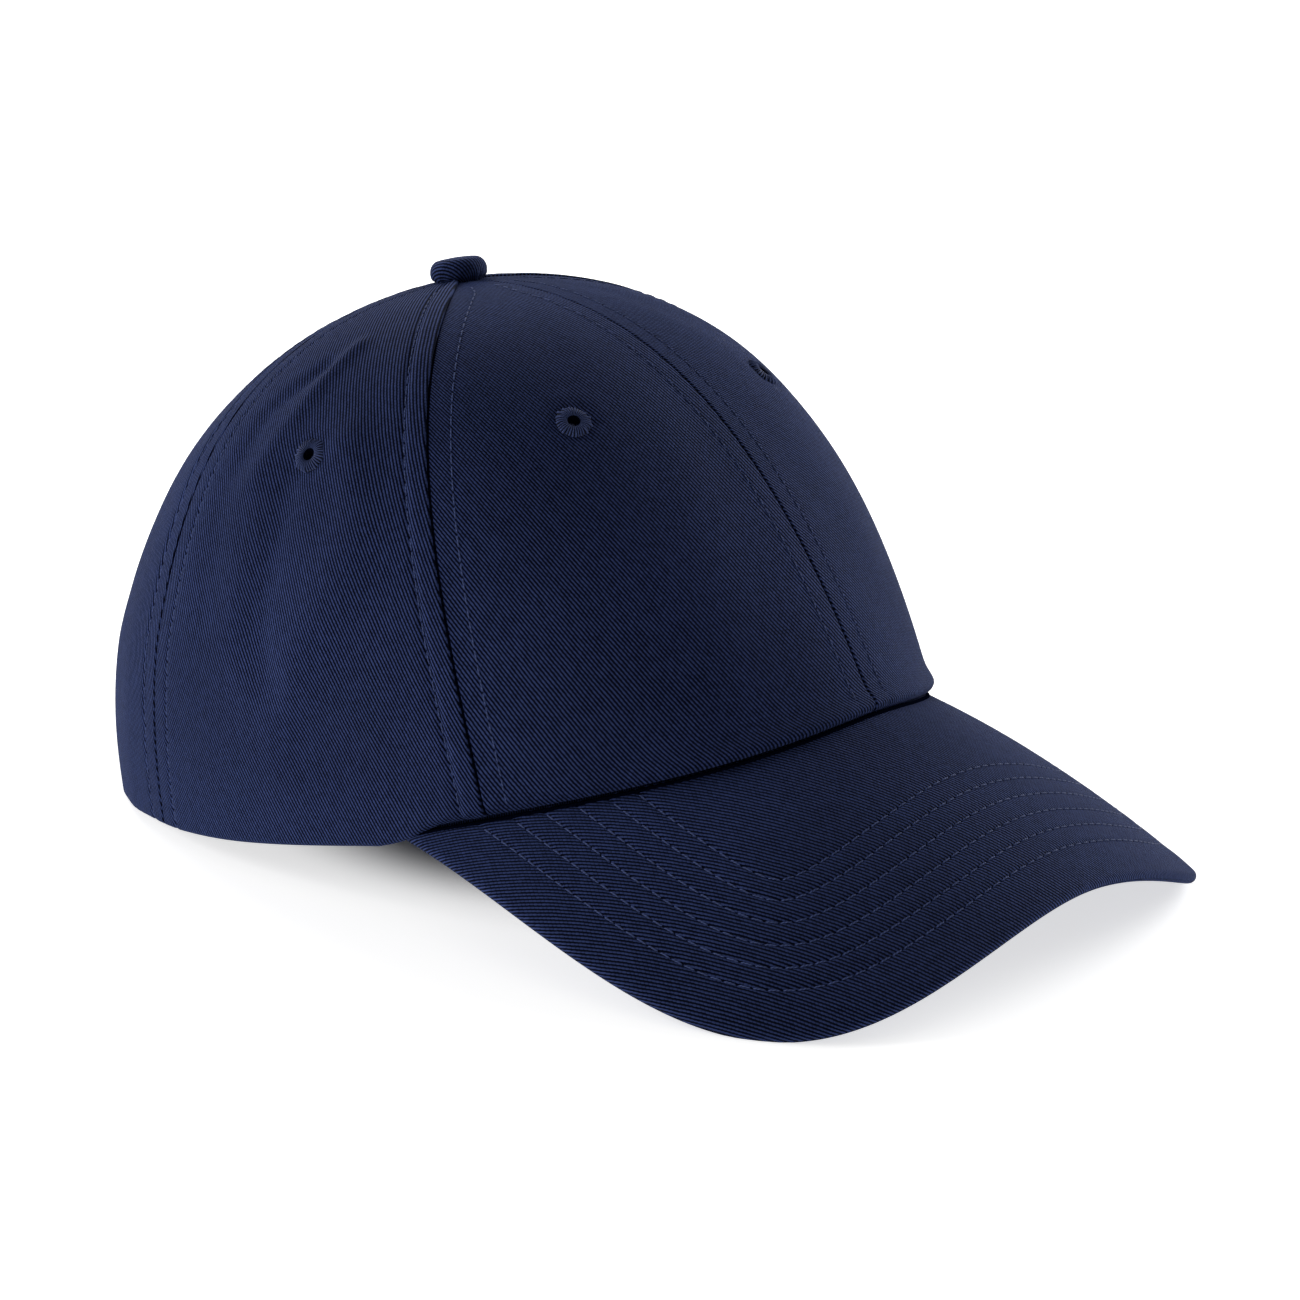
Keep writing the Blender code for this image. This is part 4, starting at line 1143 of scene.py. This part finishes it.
# From the foot of the hole's barrel, which takes near-black thread as painted shade, up over the ring of
# stitches and down to the inside
EYELET_PROFILE = (
    (0.70, -1.90), (0.70, -1.5), (1.10, -0.90), (1.36, -0.25), (1.52, 0.12), (1.80, 0.38), (2.15, 0.52),
    (2.6, 0.56), (3.05, 0.50), (3.45, 0.36), (3.8, 0.18), (4.05, -0.02), (4.2, -0.28), (4.1, -0.5),
    (3.2, -0.6), (1.8, -0.6), (1.8, -1.5), (2.9, -1.55), (3.2, -1.75), (2.9, -1.95),
)


def eyelet(name, degrees, up, seed):
    """Buttonhole stitches worked round a hole, with the ends of the stitches uneven."""
    threads = EYELET_THREADS
    dice = np.random.RandomState(seed)
    ends = dice.uniform(-0.45, 0.40, threads)

    def along(turn, radius, height):
        share = smooth_step((radius - 2.6) / 1.4)
        which = np.floor(turn / (2.0 * np.pi) * threads).astype(int) % threads
        rib = np.abs(np.sin(turn * threads / 2.0))
        return np.where(height > -0.4, share * (ends[which] - 0.45 * (1.0 - rib)), 0.0)

    def relief(turn, radius, height):
        rib = np.abs(np.sin(turn * threads / 2.0)) ** 0.8
        return np.where(height > -0.2, 0.36 * (rib - 0.7), 0.0)

    place = surface_matrix(degrees, up) @ Matrix.Translation((0.0, 0.0, 0.18 * MM))
    rings = np.array(EYELET_PROFILE[::-1])
    segments = threads * 6
    item = lathe(name + "_stitches", rings, segments, place, eyelet_thread, along, relief)
    item.data.materials.append(painted_shade_thread)
    # Painted shade: the faces of the hole's barrel get the near-black thread, for the shade inside the hole.
    painted_shade_barrel = (rings[:, 1] < 0.2) & (rings[:, 0] < 1.6)
    for face in item.data.polygons:
        if painted_shade_barrel[min(face.vertices) // segments] and painted_shade_barrel[max(face.vertices) // segments]:
            face.material_index = 1
    finish_piece(item, "cap", "navy_thread", name)


def worked_thread():
    """Threads laid side by side round a hole, dark where one meets the next."""
    n = Nodes("eyelet_thread")
    u, v = n.cloth()
    turn = n.math("MULTIPLY", n.math("ARCTAN2", v, u), EYELET_THREADS / 2.0)
    crest = n.math("ABSOLUTE", n.math("SINE", turn))
    grain = n.noise(2600.0, 2.0)
    tone = n.math("MULTIPLY_ADD", n.math("SUBTRACT", grain, 0.5), 0.5, crest)
    base = n.mix(n.range(tone, 0.25, 0.95), colour(0.0008, 0.0018, 0.008), colour(0.038, 0.056, 0.150))
    return n.finish(base, 0.75, tone, distance=0.08 * MM, Sheen_Weight=0.05, Specular_IOR_Level=0.12)


eyelet_thread = worked_thread()
seed = 1
for group, places in (("front", FRONT_EYELETS), ("side", SIDE_EYELETS), ("back", BACK_EYELETS)):
    for side, (degrees, height) in zip(("right", "left"), places):
        eyelet("eyelet_" + group + "_" + side, degrees, height, seed)
        seed += 1


def button():
    """Twill stretched over a pressed button, gathered in underneath."""
    radius = BUTTON_RADIUS / MM
    height = BUTTON_HEIGHT / MM
    profile = [(0.02, height), (radius * 0.2, height * 0.997), (radius * 0.4, height * 0.985)]
    profile += [(radius * 0.55, height * 0.965)]
    for degrees in np.linspace(70.0, 0.0, 9):
        turn = math.radians(degrees)
        profile.append((radius * (0.62 + 0.38 * math.cos(turn)), height * (0.42 + 0.56 * math.sin(turn))))
    for degrees in np.linspace(10.0, 80.0, 8):
        turn = math.radians(degrees)
        profile.append((radius * (0.84 + 0.16 * math.cos(turn)), height * (0.42 - 0.36 * math.sin(turn))))
    profile += [(radius * 0.84, -0.35), (0.4, -0.4)]

    def gathers(turn, radius_at, height_at):
        low = 1.0 - smooth_step((height_at - 0.5) / 2.2)
        return low * (0.14 * np.sin(turn * 17.0) + 0.08 * np.sin(turn * 29.0 + 1.0)) * (radius_at > 1.0)

    def dents(turn, radius_at, height_at):
        return 0.10 * np.sin(turn * 2.0 + 0.6) * smooth_step(radius_at / 6.0) * (height_at > 2.0)

    place = frame_matrix() @ Matrix.Translation((0.0, CROWN_TOP_Y, CROWN_HEIGHT))
    place = place @ Matrix.Rotation(-math.radians(BUTTON_LEAN), 4, "X")
    item = lathe("button_cloth", profile[::-1], 96, place, navy, gathers, dents, on_axis=True)
    finish_piece(item, "cap", "navy_cotton_twill", "button_cover")


button()

# Inside of the crown


PANEL_NAMES = [panel[0] for panel in PANELS]


def crown_sheet(name, angle, up, depths, uvs, material, rests_on, drop=0.0, held="stretched"):
    """A closed strip that follows the crown, between two depths below its face, in mm."""
    faces = []
    for depth in depths:
        face = crown_layer(angle, up, depth)
        face[..., 2] -= drop * MM
        faces.append(to_world(face))
    item = shell(name, *faces, uvs, material, rests_on, held)
    return item, faces[1], turn_to_world(crown_normal(angle, up))


def lay(across, along):
    """Two lengths over a grid, as the flat positions of its points."""
    return np.stack(np.broadcast_arrays(across, along), -1)


SWEATBAND_END = 149.0
SWEATBAND_DEPTH = 3.5
SWEATBAND_BACK_DEPTH = 7.3
SWEATBAND_FOOT = 0.004


def sweatband():
    degrees = np.linspace(-SWEATBAND_END, SWEATBAND_END, 300)[None, :]
    share = np.concatenate([[0.0, 0.012, 0.03], np.linspace(0.06, 0.94, 22), [0.97, 0.988, 1.0]])[:, None]
    angle = np.radians(degrees)
    top = 0.20 - 0.012 * (1.0 - np.cos(angle))
    up = SWEATBAND_FOOT + (top - SWEATBAND_FOOT) * share
    further = SWEATBAND_BACK_DEPTH - SWEATBAND_DEPTH
    body = SWEATBAND_DEPTH + further * smooth_step((np.abs(degrees) - 108.0) / 12.0)
    foot = smooth_step(share / 0.22)
    front = 1.0 - smooth_step((np.abs(degrees) - 70.0) / 5.0)
    start = 1.25 + 0.5 * front
    wave = 0.35 * ripple(degrees, 3.0, 8.0) * smooth_step((share - 0.2) / 0.8)
    depth = start + (body - start) * foot + wave * foot
    depth = depth - 0.28 * bump(share, 0.30, 0.025) - 0.22 * bump(share, 0.93, 0.02)
    ends = np.minimum(share, 1.0 - share) * 30.0
    round_off = rounded_drop(ends, 0.6, 0.5)
    drop = front * 2.9 * (1.0 - smooth_step(share / 0.16))
    depths = (depth - round_off, depth + 1.1 + round_off)
    uvs = lay(np.radians(degrees) * 88.0 * MM, share * 29.0 * MM)
    item, inner, normal = crown_sheet(
        "sweatband_cloth", angle, up, depths, uvs, band_cloth, PANEL_NAMES, drop
    )
    finish_piece(item, "cap", "sweatband_cotton", "sweatband")
    for place in (0.30, 0.93):
        row = int(np.argmin(np.abs(share[:, 0] - place)))
        inside_thread.row(inner[row], -normal[row], STITCH_RADIUS)


TAPE_HALF_WIDTH = 7.0
TAPE_STITCH = 5.5
FRONT_TAPE_DEPTH = 2.45
BACK_TAPE_DEPTH = 1.55
TAPE_START = 0.02


def seam_tape(name, seam, depth, low_up, order):
    """Woven tape over a seam's raw edges; near the top a tape of higher order lies over a lower one."""
    middle = math.radians(seam[0])
    high = float(up_at_radius(np.array(middle), 10.0 * MM))
    rows = np.linspace(low_up, high, 110)[:, None]
    half = np.array((0.6, 2.0, 4.0, 5.2, TAPE_STITCH, 5.8, 6.5, 6.9, TAPE_HALF_WIDTH))
    across = np.concatenate([-half[::-1], [0.0], half])
    radius = top_distance(middle, rows) / MM
    angle = seam_angle(seam, rows) + across[None] / radius
    run = path_lengths(crown_point(np.full(len(rows), middle), rows[:, 0])) / MM
    grooves = bump(across, TAPE_STITCH, 0.5) + bump(across, -TAPE_STITCH, 0.5)
    crest = 0.22 * bump(across, 0.0, 1.2) - 0.18 * grooves
    edge = rounded_drop(TAPE_HALF_WIDTH - np.abs(across), 0.3, 0.2)
    near_top = smooth_step((rows - high + 0.10) / 0.10) * 0.55 * order
    middle_depth = depth + near_top + 0.12 * ripple(run, depth, 8.0)[:, None] + 0.25
    depths = (middle_depth - 0.25 - edge[None], middle_depth + 0.25 + crest[None] + edge[None])
    uvs = lay(across[None] * MM, run[:, None] * MM)
    item, inner, normal = crown_sheet(
        name + "_cloth", angle, rows, depths, uvs, tape_cloth, PANEL_NAMES
    )
    finish_piece(item, "cap", "seam_tape_cotton", name)
    for column in np.nonzero(np.abs(across) == TAPE_STITCH)[0]:
        inside_thread.row(inner[2:-2, column], -normal[2:-2, column], STITCH_RADIUS)


def buckram_sheet(side, seam_a, seam_b):
    """Stiff open mesh behind a front panel."""
    rows = np.linspace(0.02, 0.80, 60)[:, None]
    share = np.linspace(0.0, 1.0, 50)[None]
    first = seam_angle(seam_a, rows) + 0.022
    second = seam_angle(seam_b, rows) - 0.022
    angle = first + (second - first) * share
    depth = 1.35 + 0.05 * ripple(share * 40.0 + rows * 60.0, 3.0, 3.0)
    uvs = lay(angle * 80.0 * MM, rows * 150.0 * MM)
    name = "front_buckram_" + side
    behind = ["front_panel_" + side]
    item = crown_sheet(name + "_mesh", angle, rows, (depth, depth + 0.55), uvs, buckram, behind)[0]
    place = FRONT_EYELETS[0] if side == "right" else FRONT_EYELETS[1]
    cut(item, [eyelet_cutter(place, 4.4, 10.0)])
    finish_piece(item, "cap", "white_buckram", name)


inside_thread = Thread()
sweatband()
seam_tape("seam_tape_centre_front", CENTRE, FRONT_TAPE_DEPTH, TAPE_START, 0)
seam_tape("seam_tape_front_left", FRONT_LEFT, FRONT_TAPE_DEPTH, TAPE_START, 1)
seam_tape("seam_tape_front_right", FRONT_RIGHT, FRONT_TAPE_DEPTH, TAPE_START, 1)
seam_tape("seam_tape_back_left", BACK_LEFT, BACK_TAPE_DEPTH, TAPE_START, 0)
seam_tape("seam_tape_back_right", BACK_RIGHT, BACK_TAPE_DEPTH, TAPE_START, 2)
seam_tape("seam_tape_centre_back", REAR, BACK_TAPE_DEPTH, opening_top, 1)
buckram_sheet("left", CENTRE, FRONT_LEFT)
buckram_sheet("right", FRONT_RIGHT, CENTRE)
sew(inside_thread, "inside_stitching", thread)


def care_label():
    """A blank label that hangs inside the sweatband, curling away at its lower edge."""
    share = np.linspace(0.0, 1.0, 24)[None]
    rows = np.linspace(0.0, 1.0, 20)[:, None]
    angle = np.radians(128.0 + 14.0 * share)
    up = 0.035 + 0.085 * rows
    curl = 1.6 * (1.0 - rows) ** 2.0 + 0.3 * np.sin(share * 5.0) * (1.0 - rows)
    depth = SWEATBAND_BACK_DEPTH + 1.2 + 0.45 + curl
    uvs = lay(share * 21.0 * MM, rows * 13.0 * MM)
    depths = (depth, depth + 0.22)
    item = crown_sheet(
        "care_label_cloth", angle, up, depths, uvs, satin, ["sweatband"], held="hung"
    )[0]
    finish_piece(item, "cap", "label_satin", "care_label")


care_label()

# Back opening, strap and buckle


def opening_binding():
    """Bias tape folded over the raw edge of the opening."""
    turn = np.linspace(-0.13, math.pi + 0.13, 150)[:, None]
    fold = np.array((4.2, 3.0, 2.6, 2.2, 1.0, 0.0, -0.45, -0.60))
    inner_fold = np.array((4.2, 3.0, 2.6, 2.2, 1.0, 0.3, 0.0, -0.1))
    reach = np.concatenate([fold, fold[::-1]])
    inner_reach = np.concatenate([inner_fold, inner_fold[::-1]])
    outside = (-0.42, -0.52, -0.40, -0.52, -0.55, -0.52, -0.30, 0.2)
    depth = np.array(outside + (0.8, 1.30, 1.6, 1.62, 1.6, 1.48, 1.6, 1.5))
    inner_depth = np.clip(depth, -0.08, 1.12)
    grids = []
    for out, deep in ((reach, depth), (inner_reach, inner_depth)):
        x = (OPENING_HALF_WIDTH + out[None] * MM) * np.cos(turn)
        z = OPENING_BASE + (OPENING_HEIGHT + out[None] * MM) * np.sin(turn)
        angle, up = back_wall(x, z)
        grids.append((crown_layer(angle, up, deep[None]), crown_normal(angle, up)))
    (outer, normal), (inner, _) = grids
    run = path_lengths(outer[:, 4])
    uvs = lay(np.cumsum(np.full(len(reach), 0.7 * MM))[None], run[:, None])
    backs = ["back_panel_left", "back_panel_right"]
    item = shell("opening_binding_cloth", to_world(outer), to_world(inner), uvs, navy, backs, "folded")
    finish_piece(item, "cap", "navy_cotton_twill", "opening_binding")
    away = turn_to_world(normal[:, 2])
    for column, facing in ((2, away), (13, -away)):
        path = to_world(outer[:, column])
        back_thread.row(path[3:-3], facing[3:-3], BACK_STITCH_RADIUS, pitch=2.9 * MM)


STRAP_ENDS = (-42.0, 49.0)
STRAP_HALF_WIDTH = 9.5
STRAP_STITCH = 2.0


def strap():
    """Two folded layers of twill, stitched along both edges."""
    bearing = np.radians(np.linspace(*STRAP_ENDS, 220))[None, :]
    half = STRAP_HALF_WIDTH
    edge = np.array((0.0, 0.05, 0.2, 0.5, 0.9, 1.4, 1.7, 2.0, 2.3, 2.7, 3.4))
    height = np.concatenate([-half + edge, np.linspace(-5.2, 5.2, 7), (half - edge)[::-1]])[:, None]
    from_edge = half - np.abs(height)
    puff = -0.16 * bump(from_edge, STRAP_STITCH, 0.4) + 0.06 * ripple(np.degrees(bearing), 1.0, 2.0)
    swell = 0.62 + rounded_drop(from_edge, 0.6, 0.5) + puff
    grids = []
    for sign in (1.0, -1.0):
        radius = STRAP_RADIUS / MM + sign * swell
        x = radius * np.sin(bearing)
        y = STRAP_CENTRE_Y / MM + radius * np.cos(bearing)
        z = STRAP_HEIGHT / MM + height
        grids.append(to_world(np.stack(np.broadcast_arrays(x, y, z), -1)[:, ::-1] * MM))
    away = np.stack([np.sin(bearing), np.cos(bearing), 0.0 * bearing], -1)[:, ::-1][0]
    away = turn_to_world(away)[2:-2]
    uvs = on_grain(lay(bearing[:, ::-1] * -STRAP_RADIUS, height * MM), STRAP_GRAIN)
    item = shell("closure_strap_cloth", *grids, uvs, navy, ["back_panel_left"], "folded")
    finish_piece(item, "strap", "navy_cotton_twill", "closure_strap")
    for place in (STRAP_STITCH - half, half - STRAP_STITCH):
        row = int(np.argmin(np.abs(height[:, 0] - place)))
        for grid, facing in zip(grids, (away, -away)):
            strap_thread.row(grid[row][2:-2], facing, BACK_STITCH_RADIUS, pitch=3.0 * MM)


def worn_edges(node, body, slot, material, width):
    """A rigid CAD piece again, with its sharp edges rounded off."""
    item = bpy.data.objects.new(node + "_finished", NODES[node].data.copy())
    bpy.context.scene.collection.objects.link(item)
    maker = bmesh.new()
    maker.from_mesh(item.data)
    bmesh.ops.remove_doubles(maker, verts=maker.verts, dist=0.002 * MM)
    bmesh.ops.dissolve_limit(maker, angle_limit=math.radians(2.0), verts=maker.verts, edges=maker.edges)
    maker.to_mesh(item.data)
    maker.free()
    item.data.materials.clear()
    item.data.materials.append(material)
    step = item.modifiers.new("rounded", "BEVEL")
    step.width = width
    step.segments = 3
    step.limit_method = "ANGLE"
    step.angle_limit = math.radians(35.0)
    bpy.context.view_layer.update()
    apply_modifiers(item)
    item.data.set_sharp_from_angle(angle=math.radians(40.0))
    layer = item.data.uv_layers.new(name="cloth")
    for loop in item.data.loops:
        x, y, z = item.data.vertices[loop.vertex_index].co
        layer.data[loop.index].uv = (math.atan2(x, y - STRAP_CENTRE_Y) * STRAP_RADIUS + z, z)
    finish_piece(item, body, slot, node)


back_thread = Thread()
opening_binding()
sew(back_thread, "opening_stitching", thread)
strap_thread = Thread()
strap()
sew(strap_thread, "strap_stitching", thread, "strap")
worn_edges("buckle_frame", "cap", "antique_brass", brass, 0.25 * MM)
worn_edges("buckle_lever", "buckle_lever", "antique_brass", brass, 0.22 * MM)
worn_edges("buckle_hinge_pin", "cap", "zinc_plated_steel", steel, 0.2 * MM)
worn_edges("buckle_tab", "cap", "navy_cotton_twill", navy, 0.2 * MM)

for node, material in (
    ("visor_board", board),
    ("button_shell", steel),
    ("button_back_cap", steel),
):
    mesh = NODES[node].data
    mesh.materials.clear()
    mesh.materials.append(material)
